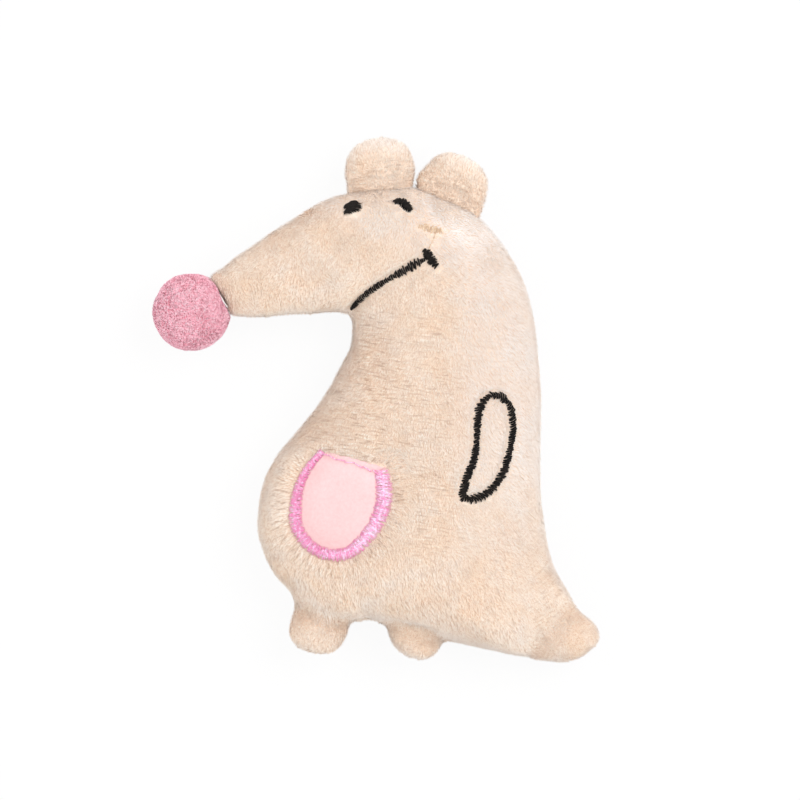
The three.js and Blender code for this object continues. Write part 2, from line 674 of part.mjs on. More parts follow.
// Satin stitching laid along a path: columns hold the places across it and their heights
function stitchRibbon(path, widths, columns, grounds, closed) {
  const count = path.length;
  const sections = path.map((point, step) => {
    const before = closed ? path.at(step - 1) : path[Math.max(step - 1, 0)];
    const after = closed ? path[(step + 1) % count] : path[Math.min(step + 1, count - 1)];
    const run = new THREE.Vector2().subVectors(after, before).normalize();
    const across = new THREE.Vector2(-run.y, run.x);
    const laid = columns.map((column) => {
      const place = point.clone().addScaledVector(across, column.offset * widths[step]);
      const ground = heightAt(place, grounds) + STITCH_LIFT;
      return { place, ground, top: ground + column.height };
    });
    const under = laid.map(({ place, ground }) => new THREE.Vector3(place.x, place.y, ground));
    const over = laid.map(({ place, top }) => new THREE.Vector3(place.x, place.y, top)).reverse();
    return [...under, ...over];
  });
  if (closed) {
    return solid(joinRings([...sections, sections[0]]));
  }
  const cap = (section) => {
    const under = section.slice(0, columns.length);
    return [...under, ...under.toReversed()];
  };
  const first = cap(sections[0]);
  const last = cap(sections.at(-1));
  return solid(joinRings([first, ...sections, last]));
}

const satinColumns = [
  { offset: -0.5, height: STITCH_HEIGHT * stitchEdgeShare },
  { offset: 0, height: STITCH_HEIGHT },
  { offset: 0.5, height: STITCH_HEIGHT * stitchEdgeShare },
];

function widthsAlong(shares, width, count) {
  return Array.from({ length: count }, (_, step) => {
    const place = (step / (count - 1)) * (shares.length - 1);
    const low = Math.min(Math.floor(place), shares.length - 2);
    return width * THREE.MathUtils.lerp(shares[low], shares[low + 1], place - low);
  });
}

function satinLine(name, lineShares, width, widthShares, finish, steps, closed = false) {
  const path = smoothPath(lineShares.map(panelPoint), steps, closed);
  const widths = widthsAlong(widthShares, width, path.length);
  return piece(name, stitchRibbon(path, widths, satinColumns, [frontPanel], closed), finish);
}

// Belly patch: felt cut a little inside the satin border's middle line, and tucked under it
const borderPath = smoothPath(patchBorderShares.map(panelPoint), patchBorderShares.length * 2 - 2);

function borderInset(distance) {
  return borderPath.map((point, step) => {
    const before = borderPath[Math.max(step - 1, 0)];
    const after = borderPath[Math.min(step + 1, borderPath.length - 1)];
    const run = new THREE.Vector2().subVectors(after, before).normalize();
    return new THREE.Vector2(point.x - run.y * distance, point.y + run.x * distance);
  });
}

function bellyPatch() {
  const outline = [...borderInset(PATCH_TUCK), ...patchTopShares.map(panelPoint)];
  const ribs = outline.map((edge) => makeRib(edge, panelPoint(patchCentreShare), 0, 0));
  const laidRing = (share, thickness) => ribs.map((rib) => {
    const point = pointOnRib(rib, 0, 0, share);
    const height = heightAt(point, [frontPanel]) + STITCH_LIFT + thickness;
    return new THREE.Vector3(point.x, point.y, height);
  });
  const under = sheetRingShares.map((share) => laidRing(share, 0)).reverse();
  const over = sheetRingShares.map((share) => laidRing(share, PATCH_THICKNESS));
  return solid(joinRings([...under, ...over]));
}

const patch = piece('belly_patch', bellyPatch(), pinkFelt);

function patchBorder() {
  const tuck = (PATCH_TUCK + OVERRUN) / BORDER_WIDTH;
  const step = PATCH_EDGE_STEP / BORDER_WIDTH;
  const columns = [
    { offset: -0.5, height: STITCH_HEIGHT * stitchEdgeShare },
    { offset: tuck - step, height: STITCH_HEIGHT },
    { offset: tuck, height: STITCH_HEIGHT * borderRiseShare },
    { offset: 0.5, height: STITCH_HEIGHT * stitchEdgeShare },
  ];
  const widths = borderPath.map(() => BORDER_WIDTH);
  return stitchRibbon(borderPath, widths, columns, [frontPanel, patch], false);
}

// Running stitch that holds the patch's top edge: one thread, thin where it dips between stitches
function topStitch() {
  const path = smoothPath(topStitchShares.map(panelPoint), topStitchWidthShares.length - 1);
  const widths = widthsAlong(topStitchWidthShares, TOP_STITCH_WIDTH, path.length);
  return stitchRibbon(path, widths, satinColumns, [frontPanel, patch], false);
}

// Pompom: a ball of yarn with a hollow where it presses on the snout, and a bore for its thread
function pompom() {
  const radius = POMPOM_DIAMETER / 2;
  const bore = POMPOM_BORE / 2;
  const face = NOSE_REACH - NOSE_GAP;
  const slope = Math.tan(NOSE_RELIEF_ANGLE);
  const reach = face * slope;
  const square = 1 + slope * slope;
  const rim = (reach + Math.sqrt(reach * reach + square * (radius * radius - face * face))) / square;
  const start = Math.acos((face - rim * slope) / radius);
  const profile = [
    new THREE.Vector2(0, face - POMPOM_BORE_DEPTH),
    new THREE.Vector2(bore, face - POMPOM_BORE_DEPTH),
    new THREE.Vector2(bore, face - bore * slope),
  ];
  const steps = POMPOM_SIDES / 2;
  for (let step = 0; step <= steps; step += 1) {
    const angle = start + ((Math.PI - start) * step) / steps;
    profile.push(new THREE.Vector2(step === steps ? 0 : radius * Math.sin(angle), radius * Math.cos(angle)));
  }
  const ball = new THREE.LatheGeometry(profile.reverse(), POMPOM_SIDES);
  return solid(alignWithNose(ball, NOSE_REACH));
}

function noseCylinder(diameter, from, to) {
  const cylinder = new THREE.CylinderGeometry(diameter / 2, diameter / 2, to - from, THREAD_SIDES * 2);
  return solid(alignWithNose(cylinder, (from + to) / 2));
}

// Assembly
const toy = new THREE.Group();
const wads = makeFilling();
toy.add(frontPanel);
toy.add(piece('back_panel', backPanel(), plushBack));
toy.add(piece('head_fill', wads.head, filling));
toy.add(piece('body_fill_front', wads.front, filling));
toy.add(piece('body_fill_back', wads.back, filling));
toy.add(piece('catnip_sachet', catnipSachet(), sachetCloth));
toy.add(piece('catnip_leaf', sachetLens(SACHET_CLOTH + CLEARANCE), driedLeaf));
toy.add(piece('seam_thread', solid(machineSeam()), seamThread));
toy.add(piece('closing_thread', solid(ladderStitch()), seamThread));
toy.add(satinLine(
  'eye_fore', foreEyeShares, FORE_EYE_WIDTH, eyeWidthShares, blackThread, SHORT_STITCH_STEPS,
));
toy.add(satinLine(
  'eye_hind', hindEyeShares, HIND_EYE_WIDTH, eyeWidthShares, blackThread, SHORT_STITCH_STEPS,
));
toy.add(satinLine(
  'cheek_stitch', cheekShares, CHEEK_WIDTH, cheekWidthShares, tanThread, SHORT_STITCH_STEPS,
));
toy.add(satinLine(
  'mouth_line', mouthLineShares, MOUTH_LINE_WIDTH, evenWidthShares, blackThread, MOUTH_STEPS,
));
toy.add(satinLine(
  'mouth_corner', mouthCornerShares, MOUTH_CORNER_WIDTH, cornerWidthShares, blackThread,
  SHORT_STITCH_STEPS,
));
toy.add(satinLine(
  'arm_outline', armLineShares, ARM_LINE_WIDTH, evenWidthShares, blackThread,
  armLineShares.length * 2, true,
));
toy.add(satinLine(
  'nose_stitch', noseStitchShares, NOSE_STITCH_WIDTH, evenWidthShares, whiteThread,
  SHORT_STITCH_STEPS,
));
toy.add(patch);
toy.add(piece('patch_border', patchBorder(), pinkThread));
toy.add(piece('patch_top_stitch', topStitch(), pinkThread));
const limbGroups = limbs.map(makeLimb);
toy.add(...limbGroups);
toy.add(piece('nose_thread', noseCylinder(SHANK_DIAMETER, -SHANK_IN_SNOUT, SHANK_IN_POMPOM), whiteThread));
toy.add(piece('pompom', pompom(), pinkYarn));
const tieEnd = NOSE_GAP + POMPOM_BORE_DEPTH - CLEARANCE;
toy.add(piece('pompom_tie', noseCylinder(TIE_DIAMETER, SHANK_IN_POMPOM + CLEARANCE, tieEnd), whiteThread));

// The origin is under the middle of the toy, on the flat of its back
const reachBox = new THREE.Box3().setFromObject(toy);
const middle = reachBox.getCenter(new THREE.Vector3());
toy.position.set(-middle.x, -middle.y, restHeight);

const mouse = new THREE.Group();
mouse.add(toy);

// Where the moving pieces bend, in the finished frame
mouse.userData.hinges = [
  ...limbGroups.map((group) => group.userData.hinge),
  { name: 'nose', at: alongNose(NOSE_GAP / 2), axis: new THREE.Vector2(-noseDirection.y, noseDirection.x) },
].map(({ name, at, axis }) => ({
  name,
  at: [at.x - middle.x, at.y - middle.y, restHeight],
  axis: [axis.x, axis.y, 0],
}));

export default mouse;
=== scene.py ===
"""A stuffed catnip mouse in short cream plush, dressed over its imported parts.

Every piece is made in metres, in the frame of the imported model: +Z up through the embroidered side,
+Y from the feet to the ears and -X towards the nose.
"""

import json
import logging
import math
from contextlib import contextmanager
from dataclasses import dataclass, field
from enum import Enum
from typing import Any, Iterator, Sequence

import bmesh
import bpy
import numpy as np
from bpy.types import Material, Mesh, Node, NodeSocket, NodeTree, Object
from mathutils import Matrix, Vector
from mathutils.bvhtree import BVHTree
from mathutils.geometry import delaunay_2d_cdt


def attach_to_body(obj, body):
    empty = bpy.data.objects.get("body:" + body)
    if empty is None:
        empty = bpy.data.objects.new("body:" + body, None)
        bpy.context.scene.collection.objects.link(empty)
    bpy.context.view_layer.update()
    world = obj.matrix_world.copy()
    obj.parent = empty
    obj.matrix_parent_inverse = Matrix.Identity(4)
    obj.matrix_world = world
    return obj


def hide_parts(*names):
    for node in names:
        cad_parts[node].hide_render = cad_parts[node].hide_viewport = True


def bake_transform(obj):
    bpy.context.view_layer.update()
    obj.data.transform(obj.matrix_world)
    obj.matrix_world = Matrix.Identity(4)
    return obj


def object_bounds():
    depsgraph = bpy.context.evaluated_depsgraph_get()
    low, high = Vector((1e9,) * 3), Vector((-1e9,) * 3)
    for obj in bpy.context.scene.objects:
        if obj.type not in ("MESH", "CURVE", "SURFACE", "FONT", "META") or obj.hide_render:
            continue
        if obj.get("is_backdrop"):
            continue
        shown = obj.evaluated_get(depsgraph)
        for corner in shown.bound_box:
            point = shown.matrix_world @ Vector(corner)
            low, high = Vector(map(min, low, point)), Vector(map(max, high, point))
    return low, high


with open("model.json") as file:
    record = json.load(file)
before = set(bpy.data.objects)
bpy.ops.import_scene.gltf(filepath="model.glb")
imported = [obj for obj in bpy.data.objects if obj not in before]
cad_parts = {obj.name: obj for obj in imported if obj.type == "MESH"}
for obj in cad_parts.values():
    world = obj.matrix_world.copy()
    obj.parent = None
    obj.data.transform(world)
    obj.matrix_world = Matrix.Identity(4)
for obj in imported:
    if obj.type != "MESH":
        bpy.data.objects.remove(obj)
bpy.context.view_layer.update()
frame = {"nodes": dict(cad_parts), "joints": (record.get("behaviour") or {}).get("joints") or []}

log = logging.getLogger("catnip_mouse")

MM = 0.001
SEAM_LEVEL = 11.5 * MM

Colour = tuple[float, float, float]
Stops = Sequence[tuple[float, float, float]]
Pulls = Sequence[tuple[float, float, float, float, float]]


class Zone(Enum):
    """Part of the body that one coat of pile covers."""

    HEAD = "head"
    TORSO = "torso"
    BACK = "back"


# Nodes


def output_of(node: Node, name: str | None = None) -> NodeSocket:
    """Finds a node's first output in use.

    Args:
        node: the node.
        name: the output's name, or None for any.

    Returns:
        The socket.
    """
    return next(s for s in node.outputs if s.enabled and name in (None, s.name))


class NodeSheet:
    """Adds nodes to one tree and joins them up."""

    def __init__(self, tree: NodeTree) -> None:
        """Keeps the tree."""
        self.tree = tree

    def add(self, kind: str, inputs: dict[str | int, Any] | None = None, **settings: Any) -> Node:
        """Adds a node.

        Args:
            kind: the node's type.
            inputs: values, sockets or nodes by the input's name or number.
            settings: the node's own settings.

        Returns:
            The new node.
        """
        node = self.tree.nodes.new(kind)
        for name, value in settings.items():
            setattr(node, name, value)
        for key, value in (inputs or {}).items():
            self.feed(node, key, value)
        return node

    def feed(self, node: Node, key: str | int, value: Any) -> None:
        """Sets an input, or joins a socket or a node's first output to it.

        Args:
            node: the node that has the input.
            key: the input's name or number.
            value: the value, socket or node.
        """
        if isinstance(key, int):
            target = node.inputs[key]
        else:
            target = next(s for s in node.inputs if s.enabled and s.name == key)
        if isinstance(value, Node):
            value = output_of(value)
        if isinstance(value, NodeSocket):
            self.tree.links.new(value, target)
        else:
            target.default_value = value

    def sum_of(self, operation: str, *values: Any, vector: bool = False) -> Node:
        """Adds a math node with these inputs in order."""
        kind = "ShaderNodeVectorMath" if vector else "ShaderNodeMath"
        return self.add(kind, dict(enumerate(values)), operation=operation)

    def mix(self, share: Any, first: Any, second: Any) -> NodeSocket:
        """Mixes two colours.

        Args:
            share: how much of the second colour there is.
            first: the colour at 0.
            second: the colour at 1.

        Returns:
            The mixed colour's socket.
        """
        node = self.add("ShaderNodeMix", data_type="RGBA")
        for key, value in ((0, share), (6, first), (7, second)):
            self.feed(node, key, (*value, 1.0) if isinstance(value, tuple) else value)
        return node.outputs[2]

    def ramp(self, value: Any, low: float, high: float) -> NodeSocket:
        """Stretches the range from low to high to 0 to 1, clamped."""
        return output_of(self.add("ShaderNodeMapRange", {"Value": value, "From Min": low, "From Max": high}))

    def parts(self, vector: Any) -> Any:
        """Takes a vector apart and returns the sockets of its three numbers."""
        return self.add("ShaderNodeSeparateXYZ", {"Vector": vector}).outputs

    def scaled(self, vector: Any, by: Any) -> Node:
        """Makes a vector a number of times as long."""
        return self.add("ShaderNodeVectorMath", {0: vector, "Scale": by}, operation="SCALE")

    def worn(self, name: str, output: str = "Fac") -> NodeSocket:
        """Reads a stored attribute in a material."""
        return self.add("ShaderNodeAttribute", attribute_name=name).outputs[output]

    def stored(self, name: str, kind: str = "FLOAT") -> Node:
        """Reads a stored attribute in a Geometry Nodes tree."""
        return self.add("GeometryNodeInputNamedAttribute", {"Name": name}, data_type=kind)

    def store(self, geometry: Any, name: str, value: Any, kind: str, domain: str) -> Node:
        """Stores a value on the geometry under a name."""
        inputs = {"Geometry": geometry, "Name": name, "Value": value}
        return self.add("GeometryNodeStoreNamedAttribute", inputs, data_type=kind, domain=domain)

    def facing(self, axes: str, first: Any, second: Any) -> Node:
        """Makes a rotation that points two axes these ways, the first one exactly."""
        ways = {"Primary Axis": first, "Secondary Axis": second}
        return self.add("FunctionNodeAxesToRotation", ways, primary_axis=axes[0], secondary_axis=axes[1])

    def copies(self, points: Any, template: Any, turn: Any, size: Any) -> Node:
        """Puts a copy of a template's shape at every point.

        Args:
            points: the points.
            template: the template object.
            turn: each copy's rotation.
            size: each copy's size.

        Returns:
            The node that has the copies.
        """
        shape = self.add("GeometryNodeObjectInfo", {"Object": template}).outputs["Geometry"]
        inputs = {"Points": points, "Instance": shape, "Rotation": turn, "Scale": size}
        return self.add("GeometryNodeInstanceOnPoints", inputs)

    def random(self, seed: Any, low: float, high: float) -> NodeSocket:
        """Adds a random number from low to high for each element."""
        node = self.add("FunctionNodeRandomValue", {"Min": low, "Max": high, "Seed": seed}, data_type="FLOAT")
        return output_of(node, "Value")


class ShaderGroup:
    """A shader node group that several finishes share, made once."""

    made: dict[str, NodeTree] = {}

    @classmethod
    def place(cls, sheet: NodeSheet, name: str, values: dict[str, Any] | None = None) -> Node:
        """Places a group in a material.

        Args:
            sheet: the material's nodes.
            name: the group's name, which is also the name of the method that builds it.
            values: the group's inputs.

        Returns:
            The group node.
        """
        if name not in cls.made:
            cls.made[name] = bpy.data.node_groups.new(name, "ShaderNodeTree")
            getattr(cls, f"_{name}")(NodeSheet(cls.made[name]))
        return sheet.add("ShaderNodeGroup", values, node_tree=cls.made[name])

    @staticmethod
    def _faces(sheet: NodeSheet, inputs: dict[str, float], outputs: Sequence[str]) -> tuple[Any, Node]:
        """Gives a group its named inputs and outputs.

        Args:
            sheet: the group's nodes.
            inputs: the value of each input by name.
            outputs: the names of the outputs.

        Returns:
            The sockets that bring the inputs in, and the node that takes the outputs.
        """
        for name, value in inputs.items():
            made = sheet.tree.interface.new_socket(name, in_out="INPUT", socket_type="NodeSocketFloat")
            made.default_value = value
        for name in outputs:
            sheet.tree.interface.new_socket(name, in_out="OUTPUT", socket_type="NodeSocketFloat")
        return sheet.add("NodeGroupInput").outputs, sheet.add("NodeGroupOutput")

    @classmethod
    def _fibre_field(cls, sheet: NodeSheet) -> None:
        """Fine fibres and wide cloudy patches on object coordinates.

        Args:
            sheet: the group's nodes.
        """
        scales = {"Fineness": 900.0, "Cloudiness": 60.0}
        given, end = cls._faces(sheet, scales, ("Fibres", "Clouds", "Height"))
        place = sheet.add("ShaderNodeTexCoord").outputs["Object"]
        fine = sheet.add(
            "ShaderNodeTexNoise",
            {"Vector": place, "Scale": given["Fineness"], "Detail": 4.0, "Roughness": 0.65},
        )
        wide = sheet.add(
            "ShaderNodeTexNoise",
            {"Vector": place, "Scale": given["Cloudiness"], "Detail": 3.0, "Distortion": 0.4},
        )
        strands = sheet.ramp(fine.outputs[0], 0.3, 0.7)
        sheet.feed(end, "Fibres", strands)
        sheet.feed(end, "Clouds", sheet.ramp(wide.outputs[0], 0.3, 0.7))
        sheet.feed(end, "Height", sheet.sum_of("MULTIPLY", strands, 0.8))

    @classmethod
    def _stroke_field(cls, sheet: NodeSheet) -> None:
        """Painted shade in short partings and painted highlights on the tips of the pile, drawn out along one
        direction.

        Args:
            sheet: the group's nodes.
        """
        sizes = {"Along": 0.0, "Across": 0.0, "Length": 2.2 * MM, "Breadth": 0.4 * MM, "Wander": 0.9 * MM}
        given, end = cls._faces(sheet, sizes, ("Marks", "Glints"))
        place = sheet.add("ShaderNodeCombineXYZ", {0: given["Along"], 1: given["Across"]})
        bend = sheet.add("ShaderNodeTexNoise", {"Vector": place, "Scale": 300.0, "Detail": 2.0})
        bend = sheet.sum_of("SUBTRACT", bend, 0.5)
        across = sheet.sum_of("MULTIPLY_ADD", bend, given["Wander"], given["Across"])
        along = sheet.sum_of("DIVIDE", given["Along"], given["Length"])
        across = sheet.sum_of("DIVIDE", across, given["Breadth"])
        drawn = sheet.add("ShaderNodeCombineXYZ", {0: along, 1: across})
        settings = {"Vector": drawn, "Scale": 1.0, "Detail": 1.2, "Roughness": 0.5}
        found = sheet.add("ShaderNodeTexNoise", settings)
        # Marks is painted shade and Glints painted highlight.
        sheet.feed(end, "Marks", sheet.ramp(found, 0.555, 0.675))
        sheet.feed(end, "Glints", sheet.ramp(found, 0.42, 0.3))

    @classmethod
    def _twist_field(cls, sheet: NodeSheet) -> None:
        """Slanted plies of a twisted thread, along the strand's own coordinates, with painted shade between
        the plies and at the strand's ends.

        Args:
            sheet: the group's nodes.
        """
        given, end = cls._faces(sheet, {"Turns": 9.0, "Slant": 3.0}, ("Plies", "Height", "Tone", "Ends"))
        along, around, _ = sheet.parts(sheet.worn("strand", "Vector"))
        lengthways = sheet.sum_of("MULTIPLY", along, given["Turns"])
        across = sheet.sum_of("MULTIPLY", around, given["Slant"])
        phase = sheet.sum_of("MULTIPLY", sheet.sum_of("ADD", lengthways, across), math.tau)
        wave = sheet.sum_of("MULTIPLY_ADD", sheet.sum_of("SINE", phase), 0.5, 0.5)
        sheet.feed(end, "Plies", wave)
        sheet.feed(end, "Height", sheet.sum_of("MULTIPLY", wave, 0.6))
        sheet.feed(end, "Tone", sheet.worn("tone"))
        # Painted shade where the strand dips into the cloth.
        ends = sheet.ramp(sheet.sum_of("ABSOLUTE", along), 0.3, 0.5)
        sheet.feed(end, "Ends", sheet.sum_of("MULTIPLY", ends, 0.6))


# Finishes


def principled(name: str, roughness: float, **fixed: Any) -> tuple[Material, NodeSheet]:
    """Makes a material with a Principled shader.

    Args:
        name: the material's name.
        roughness: its roughness.
        fixed: plain values by socket, with underscores for spaces.

    Returns:
        The material and its node sheet.
    """
    material = bpy.data.materials.new(name)
    material.use_nodes = True
    shader = material.node_tree.nodes["Principled BSDF"]
    shader.inputs["Roughness"].default_value = roughness
    for key, value in fixed.items():
        shader.inputs[key.replace("_", " ")].default_value = value
    return material, NodeSheet(material.node_tree)


def finish_with(
    sheet: NodeSheet, colour: Any, height: Any = None, strength: float = 0.3, depth: float = 0.1 * MM
) -> None:
    """Joins a colour and a bump to a material's shader.

    Args:
        sheet: the material's nodes.
        colour: the base colour.
        height: the bump's height, or None for no bump.
        strength: how strong the bump is.
        depth: how deep it is.
    """
    shader = sheet.tree.nodes["Principled BSDF"]
    sheet.feed(shader, "Base Color", colour)
    if height is not None:
        bump = sheet.add("ShaderNodeBump", {"Strength": strength, "Distance": depth, "Height": height})
        sheet.feed(shader, "Normal", bump)


@dataclass(frozen=True)
class PileFinish:
    """Cut pile with painted shade at its roots and in its partings and painted light on its tips and edges,
    and the backing cloth that it stands on.
    """

    name: str
    # root is painted shade deep in the pile; tip is the paler colour of random clouds and of painted light on
    # the tips; shade is painted shade in partings and creases; smooth is the paler colour of sleek pile,
    # partly painted light on edges and lit stretches.
    root: Colour
    body: Colour
    tip: Colour
    shade: Colour
    smooth: Colour
    sheen: float = 0.35
    roughness: float = 0.8
    curl: float = 0.5
    specular: float = 0.5
    mottle: float = 0.45

    def coat(self) -> Material:
        """Makes the material of the pile, which reads each tuft's own attributes.

        Returns:
            The material.
        """
        material, sheet = principled(
            f"{self.name}_pile", self.roughness,
            Sheen_Weight=self.sheen, Sheen_Roughness=0.5, Sheen_Tint=(*self.smooth, 1.0),
            Specular_IOR_Level=self.specular,
        )
        clouds = ShaderGroup.place(sheet, "fibre_field", {"Fineness": 1400.0, "Cloudiness": 75.0})
        reach = sheet.parts(sheet.worn("tuft", "Vector"))[1]
        tone = sheet.worn("tone")
        row = sheet.worn("row")
        # Painted shade: each tuft darkens towards its root.
        colour = sheet.mix(sheet.ramp(reach, 0.0, 0.55), self.root, self.body)
        # Painted light: paler tips, by a random share for each tuft.
        bright = sheet.sum_of("MULTIPLY", sheet.ramp(reach, 0.35, 1.0), tone)
        colour = sheet.mix(bright, colour, self.tip)
        # Paler where the pile lies sleek, partly painted light on edges and lit stretches.
        smooth = sheet.worn("smooth")
        colour = sheet.mix(sheet.sum_of("MULTIPLY", smooth, 0.8), colour, self.smooth)
        # Painted shade in the partings and creases, and random darker patches.
        parted = sheet.sum_of("MULTIPLY", sheet.sum_of("SUBTRACT", 1.0, row), 0.5)
        colour = sheet.mix(parted, colour, self.shade)
        # Painted shade in short partings and painted highlights on the tips.
        marks, glints = self._strokes(sheet)
        colour = sheet.mix(marks, colour, self.shade)
        colour = sheet.mix(glints, colour, self.tip)
        colour = sheet.mix(sheet.sum_of("MULTIPLY", clouds.outputs["Clouds"], 0.16), colour, self.tip)
        patches = ShaderGroup.place(sheet, "fibre_field", {"Fineness": 1400.0, "Cloudiness": 150.0})
        depth = sheet.sum_of("MULTIPLY_ADD", patches.outputs["Clouds"], self.mottle, 1 - self.mottle / 2)
        # Painted light: the sleekest stretches are made brighter and greyer.
        sleek_and_lit = sheet.sum_of("MAXIMUM", sheet.sum_of("SUBTRACT", smooth, 0.95), 0.0)
        depth = sheet.sum_of("MULTIPLY_ADD", sleek_and_lit, -1.1, depth)
        light = sheet.sum_of("MULTIPLY_ADD", sleek_and_lit, 0.28, 1.0)
        colour = sheet.add("ShaderNodeHueSaturation", {"Saturation": depth, "Value": light, "Color": colour})
        finish_with(sheet, colour)
        return material

    def _strokes(self, sheet: NodeSheet) -> tuple[Any, Any]:
        """Mixes the rows, slanting strokes and curls that brushing has left in the pile, as painted shade in
        the partings and painted highlights on the tips.

        Args:
            sheet: the material's nodes.

        Returns:
            How much painted shade darkens the partings and how much painted highlight pales the tips.
        """
        grain = sheet.parts(sheet.worn("grain", "Vector"))
        spot = sheet.worn("spot", "Vector")
        slanted = sheet.add("ShaderNodeVectorRotate", {"Vector": spot, "Angle": 1.15}, rotation_type="Z_AXIS")
        slanted = sheet.parts(slanted)
        flat = sheet.parts(spot)
        deep = sheet.sum_of("MULTIPLY_ADD", flat[2], 0.7, flat[1])
        wide = sheet.sum_of("MULTIPLY_ADD", flat[2], 0.7, flat[0])
        rows = {"Along": grain[0], "Across": grain[1], "Length": 2.8 * MM, "Breadth": 0.4 * MM}
        slants = {"Along": slanted[0], "Across": slanted[1], "Length": 1.9 * MM}
        curls = {"Along": wide, "Across": deep, "Length": 0.75 * MM, "Wander": 1.5 * MM}
        fields = (("combed", rows, 1.0), ("stroked", slants, 0.45), ("", curls, self.curl))
        smooth = sheet.worn("smooth")
        left: Any = sheet.sum_of("MULTIPLY_ADD", smooth, -0.7, 1.0)
        marks: Any = 0.0
        glints: Any = 0.0
        for name, values, strength in fields:
            strokes = ShaderGroup.place(sheet, "stroke_field", values)
            share = left
            if name:
                share = sheet.worn(name)
                left = sheet.sum_of("SUBTRACT", left, share)
                left.use_clamp = True
            share = sheet.sum_of("MULTIPLY", share, strength)
            marks = sheet.sum_of("MULTIPLY_ADD", strokes.outputs["Marks"], share, marks)
            glints = sheet.sum_of("MULTIPLY_ADD", strokes.outputs["Glints"], share, glints)
        return marks, glints

    def cloth(self) -> Material:
        """Makes the material of the backing under the pile.

        Returns:
            The material.
        """
        material, sheet = principled(f"{self.name}_cloth", 0.95, Sheen_Weight=self.sheen, Sheen_Roughness=0.6)
        fibres = ShaderGroup.place(sheet, "fibre_field", {"Fineness": 1100.0, "Cloudiness": 75.0})
        colour = sheet.mix(fibres.outputs["Fibres"], self.root, self.body)
        colour = sheet.mix(sheet.sum_of("MULTIPLY", fibres.outputs["Clouds"], 0.2), colour, self.tip)
        finish_with(sheet, colour, fibres.outputs["Height"], 0.5, 0.2 * MM)
        return material


@dataclass(frozen=True)
class ThreadFinish:
    """Twisted thread, with painted shade between its plies and at its ends, and a painted highlight that
    varies from stitch to stitch.
    """

    name: str
    # deep is painted shade, bright the thread on its plies, glint a painted highlight.
    deep: Colour
    bright: Colour
    glint: Colour
    roughness: float = 0.4
    sheen: float = 0.2
    specular: float = 0.5

    def material(self) -> Material:
        """Makes the material.

        Returns:
            The material.
        """
        material, sheet = principled(
            self.name,
            self.roughness,
            Sheen_Weight=self.sheen,
            Anisotropic=0.35,
            Specular_IOR_Level=self.specular,
        )
        fibres = ShaderGroup.place(sheet, "twist_field")
        grain = ShaderGroup.place(sheet, "fibre_field", {"Fineness": 2600.0, "Cloudiness": 2400.0})
        # Painted shade between the plies.
        colour = sheet.mix(fibres.outputs["Plies"], self.deep, self.bright)
        # Painted highlight, by each stitch's tone and fine clouds.
        varied = sheet.sum_of("MULTIPLY_ADD", grain.outputs["Clouds"], 0.8, fibres.outputs["Tone"])
        colour = sheet.mix(sheet.ramp(varied, 0.45, 1.1), colour, self.glint)
        # Painted shade at the strand's ends.
        colour = sheet.mix(fibres.outputs["Ends"], colour, self.deep)
        finish_with(sheet, colour, fibres.outputs["Height"], 0.5, 0.06 * MM)
        return material


@dataclass(frozen=True)
class MattedFinish:
    """Felt, wadding, unwoven cloth or crumbled leaf: fibres pressed together with no weave."""

    name: str
    dark: Colour
    light: Colour
    fineness: float
    roughness: float = 0.9
    sheen: float = 0.2
    depth: float = 0.1 * MM

    def material(self) -> Material:
        """Makes the material.

        Returns:
            The material.
        """
        material, sheet = principled(self.name, self.roughness, Sheen_Weight=self.sheen)
        fibres = ShaderGroup.place(sheet, "fibre_field", {"Fineness": self.fineness, "Cloudiness": 90.0})
        share = sheet.sum_of("MULTIPLY_ADD", fibres.outputs["Fibres"], 0.55, 0.15)
        share = sheet.sum_of("MULTIPLY_ADD", fibres.outputs["Clouds"], 0.3, share)
        colour = sheet.mix(share, self.dark, self.light)
        finish_with(sheet, colour, fibres.outputs["Height"], 0.4, self.depth)
        return material


# Meshes


def rows_of(collection: Any, key: str, wide: int) -> np.ndarray:
    """Reads rows of numbers from a mesh's data.

    Args:
        collection: the vertices, normals or stored values.
        key: the name of what is read.
        wide: how many numbers make a row.

    Returns:
        The rows.
    """
    found = np.zeros(len(collection) * wide)
    collection.foreach_get(key, found)
    return found.reshape(-1, wide)


def coordinates(mesh: Mesh) -> np.ndarray:
    """Reads vertex places as rows."""
    return rows_of(mesh.vertices, "co", 3)


def normals_of(mesh: Mesh) -> np.ndarray:
    """Reads vertex normals as rows."""
    return rows_of(mesh.vertex_normals, "vector", 3)


def read_back(mesh: Mesh, name: str) -> np.ndarray:
    """Reads one stored number for each vertex."""
    return rows_of(mesh.attributes[name].data, "value", 1).ravel()


def move_to(mesh: Mesh, places: np.ndarray) -> None:
    """Writes vertex places back."""
    mesh.vertices.foreach_set("co", places.ravel())
    mesh.update()


def attach(mesh: Mesh, name: str, values: np.ndarray) -> None:
    """Stores a number or a vector for each vertex.

    Args:
        mesh: the mesh.
        name: the attribute's name.
        values: one number or one row of three for each vertex.
    """
    kind, key = ("FLOAT", "value") if values.ndim == 1 else ("FLOAT_VECTOR", "vector")
    layer = mesh.attributes.get(name) or mesh.attributes.new(name, kind, "POINT")
    layer.data.foreach_set(key, values.astype(np.float32).ravel())


def attach_all(mesh: Mesh, values: dict[str, np.ndarray]) -> None:
    """Stores several attributes by name."""
    for name, value in values.items():
        attach(mesh, name, value)


def placed(obj: Object) -> Object:
    """Puts an object in the scene."""
    bpy.context.scene.collection.objects.link(obj)
    return obj


def shade_smooth(mesh: Mesh) -> None:
    """Shades every face of a mesh smooth."""
    mesh.polygons.foreach_set("use_smooth", [True] * len(mesh.polygons))


def wear(mesh: Mesh, finish: Material) -> None:
    """Gives a mesh one material in place of what it wore."""
    mesh.materials.clear()
    mesh.materials.append(finish)


